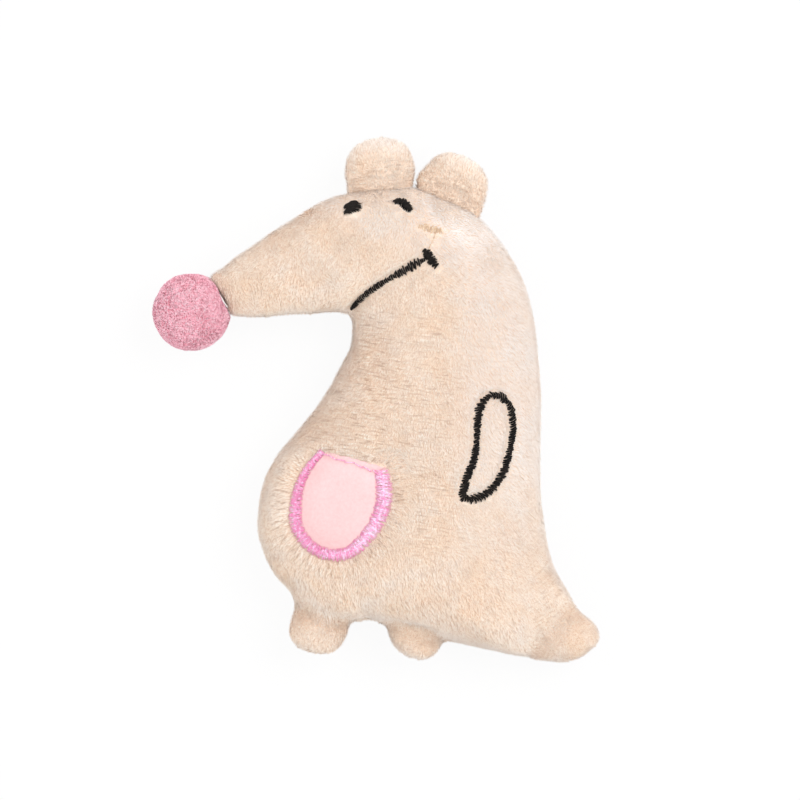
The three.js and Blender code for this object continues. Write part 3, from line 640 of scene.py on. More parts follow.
def mesh_object(name: str, vertices: Any, faces: Any, edges: Any = ()) -> Object:
    """Makes a mesh object in the scene.

    Args:
        name: the object's name.
        vertices: places in metres.
        faces: rows of vertex numbers.
        edges: pairs of vertex numbers.

    Returns:
        The object, shaded smooth.
    """
    mesh = bpy.data.meshes.new(name)
    mesh.from_pydata([tuple(v) for v in vertices], [tuple(e) for e in edges], [tuple(f) for f in faces])
    mesh.update()
    shade_smooth(mesh)
    return placed(bpy.data.objects.new(name, mesh))


def finished_mesh(obj: Object) -> Mesh:
    """Makes a plain mesh of an object as its modifiers or its curve leave it.

    Args:
        obj: the object.

    Returns:
        The new mesh.
    """
    bpy.context.view_layer.update()
    graph = bpy.context.evaluated_depsgraph_get()
    return bpy.data.meshes.new_from_object(obj.evaluated_get(graph), depsgraph=graph)


def baked_down(obj: Object) -> None:
    """Applies every modifier of an object to its mesh.

    Args:
        obj: the object.
    """
    mesh, old = finished_mesh(obj), obj.data
    obj.modifiers.clear()
    obj.data = mesh
    mesh.name = obj.name
    bpy.data.meshes.remove(old)


def drop(obj: Object) -> None:
    """Removes a helper object and its mesh.

    Args:
        obj: the object.
    """
    mesh = obj.data
    bpy.data.objects.remove(obj)
    bpy.data.meshes.remove(mesh)


@contextmanager
def edited(mesh: Mesh) -> Iterator[bmesh.types.BMesh]:
    """Opens a mesh for editing and writes it back.

    Args:
        mesh: the mesh.

    Yields:
        The bmesh to edit.
    """
    bm = bmesh.new()
    bm.from_mesh(mesh)
    yield bm
    bm.to_mesh(mesh)
    bm.free()


def noise(places: np.ndarray, cell: float, seed: int) -> np.ndarray:
    """Smooth noise from -1 to 1.

    Args:
        places: rows of two or three numbers.
        cell: the size of its patches, in the same unit.
        seed: picks the pattern.

    Returns:
        One number for each row.
    """
    if places.shape[1] == 2:
        places = np.c_[places, np.zeros(len(places))]
    at = places / cell
    low = np.floor(at).astype(np.int64)
    part = at - low
    part = part * part * (3 - 2 * part)
    total = np.zeros(len(places))
    for corner in np.ndindex(2, 2, 2):
        step = low + corner
        mixed = (step @ np.array([73856093, 19349663, 83492791]) + seed * 2654435761) & 0xFFFFFFFF
        mixed = ((mixed ^ (mixed >> 15)) * 2246822519) & 0xFFFFFFFF
        mixed = ((mixed ^ (mixed >> 13)) * 3266489917) & 0xFFFFFFFF
        weight = np.prod(np.where(corner, part, 1 - part), axis=1)
        total += weight * ((mixed ^ (mixed >> 16)) / 0xFFFFFFFF * 2 - 1)
    return total


def eased(values: np.ndarray, low: float, high: float) -> np.ndarray:
    """Smooth step from 0 at low to 1 at high."""
    share = np.clip((values - low) / (high - low), 0, 1)
    return share * share * (3 - 2 * share)


def rounded_line(stops: Stops, step: float, closed: bool = False) -> np.ndarray:
    """Runs a smooth line through stops.

    Args:
        stops: rows of x, y and width, in millimetres.
        step: distance between the line's points.
        closed: whether the line returns to its start.

    Returns:
        Rows of x, y and width, evenly spaced.
    """
    rows = np.array(stops, float)
    rows = np.vstack([rows[-1:], rows, rows[:2]]) if closed else np.vstack([rows[:1], rows, rows[-1:]])
    line = []
    for a, b, c, d in zip(rows, rows[1:], rows[2:], rows[3:]):
        bend, turn = 2 * a - 5 * b + 4 * c - d, 3 * b - a - 3 * c + d
        for t in np.linspace(0, 1, 12, endpoint=False):
            line.append(0.5 * (2 * b + (c - a) * t + bend * t**2 + turn * t**3))
    line.append(rows[-2])
    line = np.array(line)
    run = np.r_[0, np.cumsum(np.linalg.norm(np.diff(line[:, :2], axis=0), axis=1))]
    marks = np.linspace(0, run[-1], max(3, round(run[-1] / step) + 1))
    return np.stack([np.interp(marks, run, line[:, k]) for k in range(3)], axis=1)


def from_line(places: np.ndarray, line: np.ndarray) -> tuple[np.ndarray, np.ndarray, np.ndarray]:
    """Measures how far places lie from a line, in the plane.

    Args:
        places: rows of x and y.
        line: rows of x, y and width.

    Returns:
        The distances, the unit directions away from the line, and the line's width there.
    """
    best = np.full(len(places), 1e9)
    away = np.zeros((len(places), 2))
    width = np.zeros(len(places))
    for a, b in zip(line[:-1], line[1:]):
        along = b[:2] - a[:2]
        share = np.clip((places - a[:2]) @ along / max(along @ along, 1e-12), 0, 1)
        gap = places - a[:2] - share[:, None] * along
        length = np.linalg.norm(gap, axis=1)
        nearer = length < best
        best[nearer] = length[nearer]
        away[nearer] = gap[nearer] / np.maximum(length[nearer, None], 1e-9)
        width[nearer] = a[2] + share[nearer] * (b[2] - a[2])
    return best, away, width


def inside_of(places: np.ndarray, ring: np.ndarray) -> np.ndarray:
    """Finds out which places lie inside a closed ring, in the plane.

    Args:
        places: rows of x and y.
        ring: rows of x and y.

    Returns:
        Whether each place lies inside.
    """
    inside = np.zeros(len(places), bool)
    for a, b in zip(ring, np.roll(ring, -1, axis=0)):
        crosses = (a[1] > places[:, 1]) != (b[1] > places[:, 1])
        reach = (b[0] - a[0]) * (places[:, 1] - a[1]) / (b[1] - a[1] + 1e-12) + a[0]
        inside ^= crosses & (places[:, 0] < reach)
    return inside


# Geometry Nodes


class GeometryTree:
    """Geometry Nodes that are built once and run on many pieces."""

    name = ""
    numbers: Sequence[str] = ()
    repeated = ""
    made: dict[str, NodeTree] = {}

    def __init__(self) -> None:
        """Starts the tree with its inputs."""
        tree = bpy.data.node_groups.new(self.name, "GeometryNodeTree")
        tree.is_modifier = True
        tree.interface.new_socket("Geometry", in_out="INPUT", socket_type="NodeSocketGeometry")
        tree.interface.new_socket("Geometry", in_out="OUTPUT", socket_type="NodeSocketGeometry")
        kinds = dict.fromkeys(self.numbers, "Float")
        kinds |= {"Seed": "Int", self.repeated: "Object", "Finish": "Material"}
        for label, kind in kinds.items():
            tree.interface.new_socket(label, in_out="INPUT", socket_type=f"NodeSocket{kind}")
        self.sheet = NodeSheet(tree)
        self.given = self.sheet.add("NodeGroupInput").outputs

    @classmethod
    def build(cls) -> NodeTree:
        """Builds the tree on its first use.

        Returns:
            The tree.
        """
        if cls.name not in cls.made:
            own = cls()
            end = own.sheet.add("NodeGroupOutput")
            real = own.sheet.add("GeometryNodeRealizeInstances", {0: own._wire()})
            values = {"Geometry": real, "Material": own.given["Finish"]}
            own.sheet.feed(end, "Geometry", own.sheet.add("GeometryNodeSetMaterial", values))
            cls.made[cls.name] = own.sheet.tree
        return cls.made[cls.name]

    def _wire(self) -> Node:
        """Joins the tree's own nodes.

        Returns:
            The node that has the finished geometry.
        """
        raise NotImplementedError


class LineTree(GeometryTree):
    """Geometry Nodes that lay strands along a line."""

    numbers = ("Pitch", "Raggedness", "Tilt", "Slant", "Thickness")
    repeated = "Strand"

    def _strands(self, turn: Any, reach: Any) -> Node:
        """Lays one strand at every station of a line.

        Args:
            turn: which way a strand lies, before it is swung at random.
            reach: how long a strand is.

        Returns:
            The node that lays the strands.
        """
        sheet, given = self.sheet, self.given
        line = sheet.add("GeometryNodeMeshToCurve", {"Mesh": given["Geometry"]})
        stations = {"Curve": line, "Length": given["Pitch"]}
        line = sheet.add("GeometryNodeResampleCurve", stations, mode="LENGTH")
        swing = sheet.random(given["Seed"], -1.0, 1.0)
        swing = sheet.sum_of("MULTIPLY_ADD", swing, given["Tilt"], given["Slant"])
        euler = sheet.add("FunctionNodeEulerToRotation", {0: sheet.add("ShaderNodeCombineXYZ", {2: swing})})
        turn = sheet.add("FunctionNodeRotateRotation", {0: turn, 1: euler}, rotation_space="LOCAL")
        size = sheet.add("ShaderNodeCombineXYZ", {0: reach, 1: given["Thickness"], 2: given["Thickness"]})
        return sheet.copies(line, given["Strand"], turn, size)

    def _toned(self, laid: Any, share: float) -> Node:
        """Gives every strand a tone of its own, from a random share and the line's paleness, which sets how
        much painted highlight it takes.

        Args:
            laid: the strands.
            share: how much of the tone is random.

        Returns:
            The node that has the toned strands.
        """
        sheet = self.sheet
        tone = sheet.sum_of("MULTIPLY_ADD", sheet.random(5, 0.0, 1.0), share, sheet.stored("pale"))
        return sheet.store(laid, "tone", tone, "FLOAT", "INSTANCE")


class StitchTree(LineTree):
    """Geometry Nodes that lay satin stitches side by side along a line."""

    name = "satin_stitches"

    def _wire(self) -> Node:
        """Joins the tree's own nodes.

        Returns:
            The node that has the stitches.
        """
        sheet, given = self.sheet, self.given
        span = sheet.stored("span")
        up, across = (sheet.stored(name, "FLOAT_VECTOR") for name in ("up", "across"))
        loose = sheet.sum_of("MULTIPLY", sheet.random(11, -1.0, 1.0), given["Raggedness"])
        reach = sheet.sum_of("MULTIPLY", span, sheet.sum_of("ADD", loose, 1.0))
        laid = self._strands(sheet.facing("ZY", up, across), reach)
        slip = sheet.sum_of("MULTIPLY", sheet.random(23, -0.5, 0.5), given["Raggedness"])
        slip = sheet.sum_of("MULTIPLY", slip, span)
        stacked = sheet.random(31, -0.06 * MM, 0.1 * MM)
        shift = sheet.add("ShaderNodeCombineXYZ", {0: slip, 2: stacked})
        laid = sheet.add("GeometryNodeTranslateInstances", {"Instances": laid, "Translation": shift})
        return self._toned(laid, 0.45)


class RunningTree(LineTree):
    """Geometry Nodes that lay single stitches end to end along a line."""

    name = "running_stitches"

    def _wire(self) -> Node:
        """Joins the tree's own nodes.

        Returns:
            The node that has the stitches.
        """
        sheet = self.sheet
        course = sheet.add("GeometryNodeInputTangent")
        turn = sheet.facing("ZX", sheet.stored("up", "FLOAT_VECTOR"), course)
        return self._toned(self._strands(turn, sheet.stored("span")), 0.4)


class PileTree(GeometryTree):
    """Geometry Nodes that plant tufts of pile over a skin."""

    name = "pile_tufts"
    numbers = ("Density", "Length", "Width", "Lean", "Spread", "Map Scale")
    repeated = "Tuft"
    row_height = 0.85 * MM

    def _wire(self) -> Node:
        """Joins the tree's own nodes.

        Returns:
            The node that has the pile.
        """
        sheet, given = self.sheet, self.given
        dense = sheet.sum_of("MULTIPLY", sheet.stored("cover"), given["Density"])
        planted = sheet.add(
            "GeometryNodeDistributePointsOnFaces",
            {"Mesh": given["Geometry"], "Density": dense, "Seed": given["Seed"]},
        )
        place = sheet.add("GeometryNodeInputPosition")
        rooted = sheet.store(planted.outputs["Points"], "root", place, "FLOAT_VECTOR", "POINT")
        parting, grown_by = self._rows(place)
        rooted = sheet.store(rooted, "parted", parting, "FLOAT", "POINT")
        turn = self._lean(planted.outputs["Normal"])
        long = sheet.sum_of("MULTIPLY", given["Length"], sheet.random(3, 0.7, 1.25))
        long = sheet.sum_of("MULTIPLY", long, sheet.sum_of("MULTIPLY", sheet.stored("reach"), grown_by))
        wide = sheet.sum_of("MULTIPLY", given["Width"], sheet.random(4, 0.75, 1.3))
        size = sheet.add("ShaderNodeCombineXYZ", {0: wide, 1: long, 2: long})
        grown = sheet.copies(rooted, given["Tuft"], turn, size)
        toned = sheet.store(grown, "tone", sheet.random(5, 0.0, 1.0), "FLOAT", "INSTANCE")
        # Painted shade: tufts in a parting take more of the pile's shade colour.
        unparted = sheet.sum_of("SUBTRACT", 1.0, sheet.stored("parted"))
        row = sheet.sum_of("MULTIPLY", sheet.stored("row"), unparted)
        toned = sheet.store(toned, "row", row, "FLOAT", "INSTANCE")
        return self._mapped(sheet.add("GeometryNodeRealizeInstances", {0: toned}))

    def _rows(self, place: Node) -> tuple[Node, Node]:
        """Parts the pile in rows across its grain.

        Args:
            place: where the tufts stand.

        Returns:
            How far a tuft lies in a parting, and how many times as long it grows.
        """
        sheet = self.sheet
        combed = sheet.stored("combed")
        drawn: Any = sheet.parts(sheet.stored("grain", "FLOAT_VECTOR"))[1]
        for scale, far in ((140.0, 3.0 * MM), (520.0, 1.3 * MM)):
            wander = sheet.add("ShaderNodeTexNoise", {"Vector": place, "Scale": scale, "Detail": 1.0})
            wander = sheet.sum_of("SUBTRACT", wander, 0.5)
            drawn = sheet.sum_of("MULTIPLY_ADD", wander, far, drawn)
        step = sheet.sum_of("FRACT", sheet.sum_of("DIVIDE", drawn, self.row_height))
        parting = sheet.sum_of("SUBTRACT", 1.0, sheet.ramp(step, 0.05, 0.42))
        parting = sheet.sum_of("MULTIPLY", parting, combed)
        overlap = sheet.sum_of("MULTIPLY", sheet.ramp(step, 0.55, 1.0), combed)
        grown_by = sheet.sum_of("MULTIPLY_ADD", parting, -0.5, 1.0)
        return parting, sheet.sum_of("MULTIPLY_ADD", overlap, 0.2, grown_by)

    def _lean(self, normal: Any) -> Node:
        """Leans the tufts the way that they are combed, with a random stray.

        Args:
            normal: the skin's direction.

        Returns:
            The node that has their rotation.
        """
        sheet, given = self.sheet, self.given
        stray = sheet.add("FunctionNodeRandomValue", data_type="FLOAT_VECTOR")
        stray.inputs[0].default_value, stray.inputs[1].default_value = (-1, -1, -1), (1, 1, 1)
        sheet.feed(stray, "Seed", given["Seed"])
        leant = sheet.scaled(sheet.stored("nap", "FLOAT_VECTOR"), given["Lean"])
        way = sheet.sum_of("ADD", normal, leant, vector=True)
        way = sheet.sum_of("ADD", way, sheet.scaled(stray, given["Spread"]), vector=True)
        tipped = sheet.scaled(stray, sheet.sum_of("MINIMUM", given["Spread"], 0.45))
        return sheet.facing("YZ", way, sheet.sum_of("ADD", normal, tipped, vector=True))

    def _mapped(self, real: Node) -> Node:
        """Stores each tuft's own place and grain, and a map for baked textures.

        Args:
            real: the tufts as plain faces.

        Returns:
            The node that has the pile.
        """
        sheet, given = self.sheet, self.given
        here = sheet.add("GeometryNodeInputPosition")
        real = sheet.store(real, "spot", here, "FLOAT_VECTOR", "POINT")
        grain = sheet.stored("grain", "FLOAT_VECTOR")
        under = sheet.add(
            "GeometryNodeSampleNearestSurface",
            {"Mesh": given["Geometry"], "Value": grain, "Sample Position": here},
            data_type="FLOAT_VECTOR",
        )
        real = sheet.store(real, "grain", under, "FLOAT_VECTOR", "POINT")
        spot = sheet.scaled(sheet.stored("root", "FLOAT_VECTOR"), given["Map Scale"])
        own = sheet.scaled(sheet.stored("tuft", "FLOAT_VECTOR"), 0.004)
        spot = sheet.sum_of("ADD", spot, own, vector=True)
        spot = sheet.sum_of("ADD", spot, (0.5, 0.5, 0.0), vector=True)
        return sheet.store(real, "OFBake", spot, "FLOAT2", "CORNER")


def run_tree(obj: Object, tree: NodeTree, values: dict[str, Any]) -> None:
    """Runs a tree on an object and keeps the result as its plain mesh.

    Args:
        obj: the object, whose mesh the result takes over.
        tree: the Geometry Nodes tree.
        values: the tree's inputs by name.
    """
    modifier = obj.modifiers.new(tree.name, "NODES")
    modifier.node_group = tree
    for item in tree.interface.items_tree:
        if item.item_type == "SOCKET" and item.in_out == "INPUT" and item.name in values:
            modifier[item.identifier] = values[item.name]
    obj.update_tag()
    baked_down(obj)
    for name in ("nap", "cover", "reach", "root", "up", "across", "span", "pale", "parted"):
        layer = obj.data.attributes.get(name)
        if layer is not None and not layer.is_required:
            obj.data.attributes.remove(layer)


def strand_template(name: str, height: float, width: float, dip: float) -> Object:
    """Makes one stitch: a thread bent over the cloth, one unit long in X.

    Args:
        name: the object's name.
        height: how far the middle stands up.
        width: the thread's width.
        dip: how far the ends go down.

    Returns:
        The template object.
    """
    stations, sides = 9, 6
    vertices, own, faces = [], [], []
    for i in range(stations):
        x = i / (stations - 1) - 0.5
        bow = height * (1 - abs(2 * x) ** 3.2) - dip * abs(2 * x) ** 6
        thin = 1 - 0.35 * abs(2 * x) ** 4
        for k in range(sides):
            angle = math.tau * k / sides
            y = math.cos(angle) * width / 2 * thin
            z = bow + math.sin(angle) * width * 0.42 * thin
            vertices.append((x, y, z))
            own.append((x, k / sides, 0.0))
    for i in range(stations - 1):
        for k in range(sides):
            a, b = i * sides + k, i * sides + (k + 1) % sides
            faces.append((a, b, b + sides, a + sides))
    faces.append(tuple(range(sides))[::-1])
    faces.append(tuple(range((stations - 1) * sides, stations * sides)))
    strand = mesh_object(name, vertices, faces)
    with edited(strand.data) as bm:
        bmesh.ops.recalc_face_normals(bm, faces=bm.faces)
    attach(strand.data, "strand", np.array(own))
    return strand


def tuft_template(name: str, curl: float) -> Object:
    """Makes one tuft of pile: a bent blade, one unit long in Y and wide in X.

    Args:
        name: the object's name.
        curl: how far the blade bows.

    Returns:
        The template object.
    """
    vertices = [(-0.5, 0, 0), (0.5, 0, 0), (-0.42, 0.5, curl), (0.42, 0.5, curl), (0, 1, curl * 0.6)]
    tuft = mesh_object(name, vertices, [(0, 1, 3, 2), (2, 3, 4)])
    attach(tuft.data, "tuft", np.array([(x, y, 0.0) for x, y, _ in vertices]))
    return tuft


def curl_template(name: str) -> Object:
    """Makes one cut end of crimped yarn: a narrow band that bends to and fro, one unit long in Y.

    Args:
        name: the object's name.

    Returns:
        The template object.
    """
    middle = [(0.0, 0.0, 0.0), (0.36, 0.3, 0.12), (-0.3, 0.66, 0.2), (0.14, 1.0, 0.06)]
    vertices, own, faces = [], [], []
    for i, (x, y, z) in enumerate(middle):
        half = 0.2 if i < 3 else 0.1
        for side in (-1, 1):
            vertices.append((x + side * half, y + side * half * 0.3, z))
            own.append((side * 0.5, y, 0.0))
        if i:
            k = 2 * i
            faces.append((k - 2, k - 1, k + 1, k))
    curl = mesh_object(name, vertices, faces)
    attach(curl.data, "tuft", np.array(own))
    return curl


# Stuffed pieces


def sewn_shell(name: str, nodes: Sequence[str], voxel: float, edge: float = 0.75 * MM) -> Object:
    """Copies the two sewn halves of a piece and welds them into one closed skin.

    Args:
        name: the new piece's name.
        nodes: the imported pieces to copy, front and back.
        voxel: size of the skin's faces.
        edge: how near the seam a vertex is drawn over to the other half, so that the halves meet.

    Returns:
        The closed skin, with its hollow inside left out.
    """
    bm = bmesh.new()
    for node in nodes:
        start = len(bm.verts)
        bm.from_mesh(frame["nodes"][node].data)
        bm.verts.ensure_lookup_table()
        fresh = bm.verts[start:]
        way = 1 if sum(v.co.z for v in fresh) / len(fresh) > SEAM_LEVEL else -1
        for v in fresh:
            if abs(v.co.z - SEAM_LEVEL) < edge:
                v.co.z -= way * 0.9 * MM
    bmesh.ops.remove_doubles(bm, verts=bm.verts, dist=1e-6)
    obj = object_from(bm, name)
    weld(obj, voxel)
    return obj


def object_from(bm: bmesh.types.BMesh, name: str) -> Object:
    """Puts a bmesh in the scene as a new object.

    Args:
        bm: the bmesh, which is freed.
        name: the object's name.

    Returns:
        The object.
    """
    mesh = bpy.data.meshes.new(name)
    bm.to_mesh(mesh)
    bm.free()
    return placed(bpy.data.objects.new(name, mesh))


def weld(obj: Object, voxel: float, rounds: int = 10) -> None:
    """Welds a piece into one closed skin and smooths it.

    Args:
        obj: the piece, whose hollow inside is dropped.
        voxel: size of the skin's faces.
        rounds: how often it is smoothed.
    """
    welded = obj.modifiers.new("weld", "REMESH")
    welded.mode, welded.voxel_size, welded.adaptivity = "VOXEL", voxel, 0.0
    baked_down(obj)
    keep_outer(obj.data)
    eased_skin = obj.modifiers.new("ease", "SMOOTH")
    eased_skin.factor, eased_skin.iterations = 0.5, rounds
    baked_down(obj)
    shade_smooth(obj.data)


def joined(name: str, pieces: Sequence[Object]) -> Object:
    """Joins helper objects into a new one and removes them.

    Args:
        name: the new object's name.
        pieces: the helper objects.

    Returns:
        The new object.
    """
    bm = bmesh.new()
    for piece in pieces:
        bm.from_mesh(piece.data)
        drop(piece)
    return object_from(bm, name)


def keep_outer(mesh: Mesh) -> None:
    """Removes all but the widest connected part of a mesh.

    Args:
        mesh: the mesh.
    """
    with edited(mesh) as bm:
        bm.verts.ensure_lookup_table()
        seen = np.zeros(len(bm.verts), bool)
        parts = []
        for v in bm.verts:
            if seen[v.index]:
                continue
            part, todo = [], [v]
            seen[v.index] = True
            while todo:
                at = todo.pop()
                part.append(at)
                for e in at.link_edges:
                    o = e.other_vert(at)
                    if not seen[o.index]:
                        seen[o.index] = True
                        todo.append(o)
            parts.append(part)
        parts.sort(key=lambda p: -(max(v.co.x for v in p) - min(v.co.x for v in p)))
        bmesh.ops.delete(bm, geom=[v for p in parts[1:] for v in p], context="VERTS")


def swell(obj: Object, pinned: np.ndarray, cap: float, scale: float = 6.0, steps: int = 20) -> None:
    """Fills a skin by cloth simulation, with its seam held.

    Args:
        obj: the skin.
        pinned: whether each vertex is held.
        cap: how far a vertex may move.
        scale: how much larger the skin is while it swells, because cloth this small is too stiff.
        steps: how many frames it swells for.
    """
    rest = coordinates(obj.data)
    move_to(obj.data, rest * scale)
    held = obj.vertex_groups.new(name="held")
    held.add([int(i) for i in np.flatnonzero(pinned)], 1.0, "REPLACE")
    cloth = obj.modifiers.new("cloth", "CLOTH")
    settings = cloth.settings
    settings.quality = 4
    settings.mass = 0.15
    settings.use_pressure = True
    settings.uniform_pressure_force = 4.0
    settings.effector_weights.gravity = 0.0
    settings.vertex_group_mass = "held"
    cloth.point_cache.frame_start, cloth.point_cache.frame_end = 1, steps
    scene = bpy.context.scene
    for step in range(1, steps + 1):
        scene.frame_set(step)
    graph = bpy.context.evaluated_depsgraph_get()
    result = obj.evaluated_get(graph).to_mesh()
    moved = coordinates(result) / scale - rest
    obj.evaluated_get(graph).to_mesh_clear()
    obj.modifiers.clear()
    obj.vertex_groups.clear()
    scene.frame_set(1)
    length = np.linalg.norm(moved, axis=1, keepdims=True)
    moved *= cap * np.tanh(length / cap) / np.maximum(length, 1e-12)
    log.info("%s swelled by up to %.2f mm", obj.name, float(length.max()) / MM)
    move_to(obj.data, rest + moved)


def pull(mesh: Mesh, pulls: Pulls) -> None:
    """Pulls stretches of a skin to where the stuffing holds them.

    Args:
        mesh: the skin.
        pulls: rows of x, y, the way that it is pulled in x and y, and how wide, in millimetres.
    """
    places = coordinates(mesh)
    for x, y, right, up, wide in pulls:
        gap = np.linalg.norm(places[:, :2] / MM - (x, y), axis=1)
        places[:, :2] += np.exp(-((gap / wide) ** 2))[:, None] * np.array((right, up)) * MM
    move_to(mesh, places)


def refined(obj: Object) -> None:
    """Halves the faces of a skin once.

    Args:
        obj: the skin.
    """
    finer = obj.modifiers.new("finer", "SUBSURF")
    finer.levels = finer.render_levels = 1
    baked_down(obj)
    shade_smooth(obj.data)


def part_of(obj: Object, name: str, keep: np.ndarray, capped: bool = False) -> Object:
    """Copies some of the faces of an object.

    Args:
        obj: the object.
        name: the copy's name.
        keep: whether each vertex belongs to the copy; a face goes where most of its vertices go.
        capped: whether the cut is closed.

    Returns:
        The copy.
    """
    bm = bmesh.new()
    bm.from_mesh(obj.data)
    share = [sum(float(keep[v.index]) for v in f.verts) / len(f.verts) for f in bm.faces]
    bm.faces.ensure_lookup_table()
    gone = [f for f, kept in zip(bm.faces, share) if kept < 0.5]
    bmesh.ops.delete(bm, geom=gone, context="FACES")
    if capped:
        rim = [e for e in bm.edges if e.is_boundary]
        filled = bmesh.ops.holes_fill(bm, edges=rim, sides=0)["faces"]
        for face in bmesh.ops.poke(bm, faces=filled)["faces"]:
            face.smooth = False
    return object_from(bm, name)


def tree_over(obj: Object) -> BVHTree:
    """Makes a search tree over an object's faces."""
    faces = [tuple(p.vertices) for p in obj.data.polygons]
    return BVHTree.FromPolygons([v.co.copy() for v in obj.data.vertices], faces)


def set_back(node: str, body: str, inward: float, finish: Material, shift: Any = (0, 0, 0)) -> None:
    """Replaces packed wadding by a lumpy wad that sits further in.

    Args:
        node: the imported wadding.
        body: the body that it moves with.
        inward: how far its surface goes in, in millimetres.
        finish: its material.
        shift: how far it moves as a whole, in metres.
    """
    wad = placed(bpy.data.objects.new(f"{node}_wad", frame["nodes"][node].data.copy()))
    weld(wad, 0.8 * MM, 2)
    places = coordinates(wad.data)
    depth = inward + 0.15 * noise(places / MM, 2.2, 17)
    move_to(wad.data, places - normals_of(wad.data) * depth[:, None] * MM + np.array(shift))
    wear(wad.data, finish)
    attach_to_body(wad, body)
    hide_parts(node)


@dataclass(frozen=True)
class PileCoat:
    """The pile of one stretch of plush, planted over its skin."""

    name: str
    density: float
    length: float = 0.85
    width: float = 0.17
    lean: float = 1.3
    spread: float = 0.45
    map_scale: float = 8.5
    seed: int = 1

    def grow(self, skin: Object, tuft: Object, finish: Material) -> Object:
        """Grows the pile from a skin, which it takes over.

        Args:
            skin: the stretch of skin, with its cover, nap, reach and row.
            tuft: the tuft that is repeated.
            finish: the pile's material.

        Returns:
            The pile as a plain mesh.
        """
        skin.name = self.name
        values = {
            "Density": self.density / (MM * MM), "Length": self.length * MM, "Width": self.width * MM,
            "Lean": self.lean, "Spread": self.spread, "Map Scale": self.map_scale, "Seed": self.seed,
            "Tuft": tuft, "Finish": finish,
        }
        run_tree(skin, PileTree.build(), values)
        return skin


@dataclass
class SatinLine:
    """One line or filled shape of satin stitch, or a row of running stitches."""

    name: str
    node: str
    slot: str
    stops: Stops
    closed: bool = False
    pitch: float = 0.4
    thickness: float = 1.0
    raggedness: float = 0.24
    tilt: float = 0.2
    lift: float = 0.2
    sink: float = 0.22
    bare: float = -0.3
    along: bool = False
    slant: float = 0.0
    level: float | None = None
    # pale: how much painted highlight the thread takes, at x -14 mm and at x -2 mm.
    pale: tuple[float, float] = (0.15, 0.15)
    parting: float = 2.4
    seed: int = 1

    def line(self, step: float = 0.4) -> np.ndarray:
        """Runs a smooth line through the stops, in millimetres, with widths."""
        return rounded_line(self.stops, step, self.closed)

    def sew(self, ground: BVHTree, strand: Object, finish: Material) -> None:
        """Lays the stitches on the cloth.

        Args:
            ground: the surface that they are sewn on.
            strand: the stitch that is repeated.
            finish: the thread's material.
        """
        rows = self.line()
        points, ups = [], []
        for x, y, _ in rows:
            place, up = on_top(ground, x * MM, y * MM)
            points.append(place + up * self.lift * MM)
            ups.append(up)
        edges = [(i, i + 1) for i in range(len(points) - 1)]
        obj = mesh_object(self.name, points, [], edges)
        attach(obj.data, "up", np.array([tuple(u) for u in ups]))
        attach(obj.data, "span", rows[:, 2] * MM)
        course = np.gradient(rows[:, :2], axis=0)
        if self.level is not None:
            course[:] = (math.sin(self.level), -math.cos(self.level))
        attach(obj.data, "across", np.c_[course, 0 * course[:, 0]])
        # More painted highlight where the line's paleness is higher.
        attach(obj.data, "pale", np.interp(rows[:, 0], (-14.0, -2.0), self.pale))
        tree = RunningTree if self.along else StitchTree
        values = {
            "Pitch": self.pitch * MM, "Raggedness": self.raggedness, "Tilt": self.tilt, "Slant": self.slant,
            "Thickness": self.thickness, "Seed": self.seed, "Strand": strand, "Finish": finish,
        }
        run_tree(obj, tree.build(), values)
        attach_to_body(obj, "body")
        if self.node:
            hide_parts(self.node)
        log.info("%s: %d faces", self.name, len(obj.data.polygons))


def on_top(ground: BVHTree, x: float, y: float, around: float = 0.7 * MM) -> tuple[Vector, Vector]:
    """Finds the upper surface under a point.

    Args:
        ground: the surface.
        x: place in metres.
        y: place in metres.
        around: how far round it the surface's direction is averaged.

    Returns:
        The place on the surface and the surface's averaged direction there.
    """
    found, up = None, Vector((0, 0, 0))
    for dx, dy in ((0, 0), (around, 0), (-around, 0), (0, around), (0, -around)):
        hit = ground.ray_cast(Vector((x + dx, y + dy, 0.1)), Vector((0, 0, -1)))
        if hit[0] is None:
            continue
        up += hit[1]
        if found is None:
            found = hit[0]
    if found is None:
        found, up = ground.find_nearest(Vector((x, y, SEAM_LEVEL)))[:2]
    return found, up.normalized()


@dataclass
class Lay:
    """How the pile lies: a value or a row for each vertex of a skin, with places in millimetres."""

    places: np.ndarray
    normals: np.ndarray
    way: np.ndarray
    grain: np.ndarray
    # row: below 1 the pile takes painted shade, in partings and creases, and darker random patches.
    row: np.ndarray
    combed: np.ndarray
    stroked: np.ndarray
    # smooth: sleek and paler pile, partly painted light on edges and lit stretches.
    smooth: np.ndarray
    cover: np.ndarray
    reach: np.ndarray
    steepest: float = 0.15

    def store(self, mesh: Mesh) -> None:
        """Stores the lay on a skin, with the nap along the skin's own surface.

        Args:
            mesh: the skin's mesh.
        """
        nap = self.way - self.normals * np.sum(self.way * self.normals, axis=1, keepdims=True)
        nap /= np.maximum(np.linalg.norm(nap, axis=1, keepdims=True), self.steepest)
        values = {
            "nap": nap, "cover": self.cover, "reach": self.reach, "row": np.clip(self.row, 0, 1),
            "grain": self.grain * MM, "combed": self.combed, "stroked": self.stroked, "smooth": self.smooth,
        }
        attach_all(mesh, values)


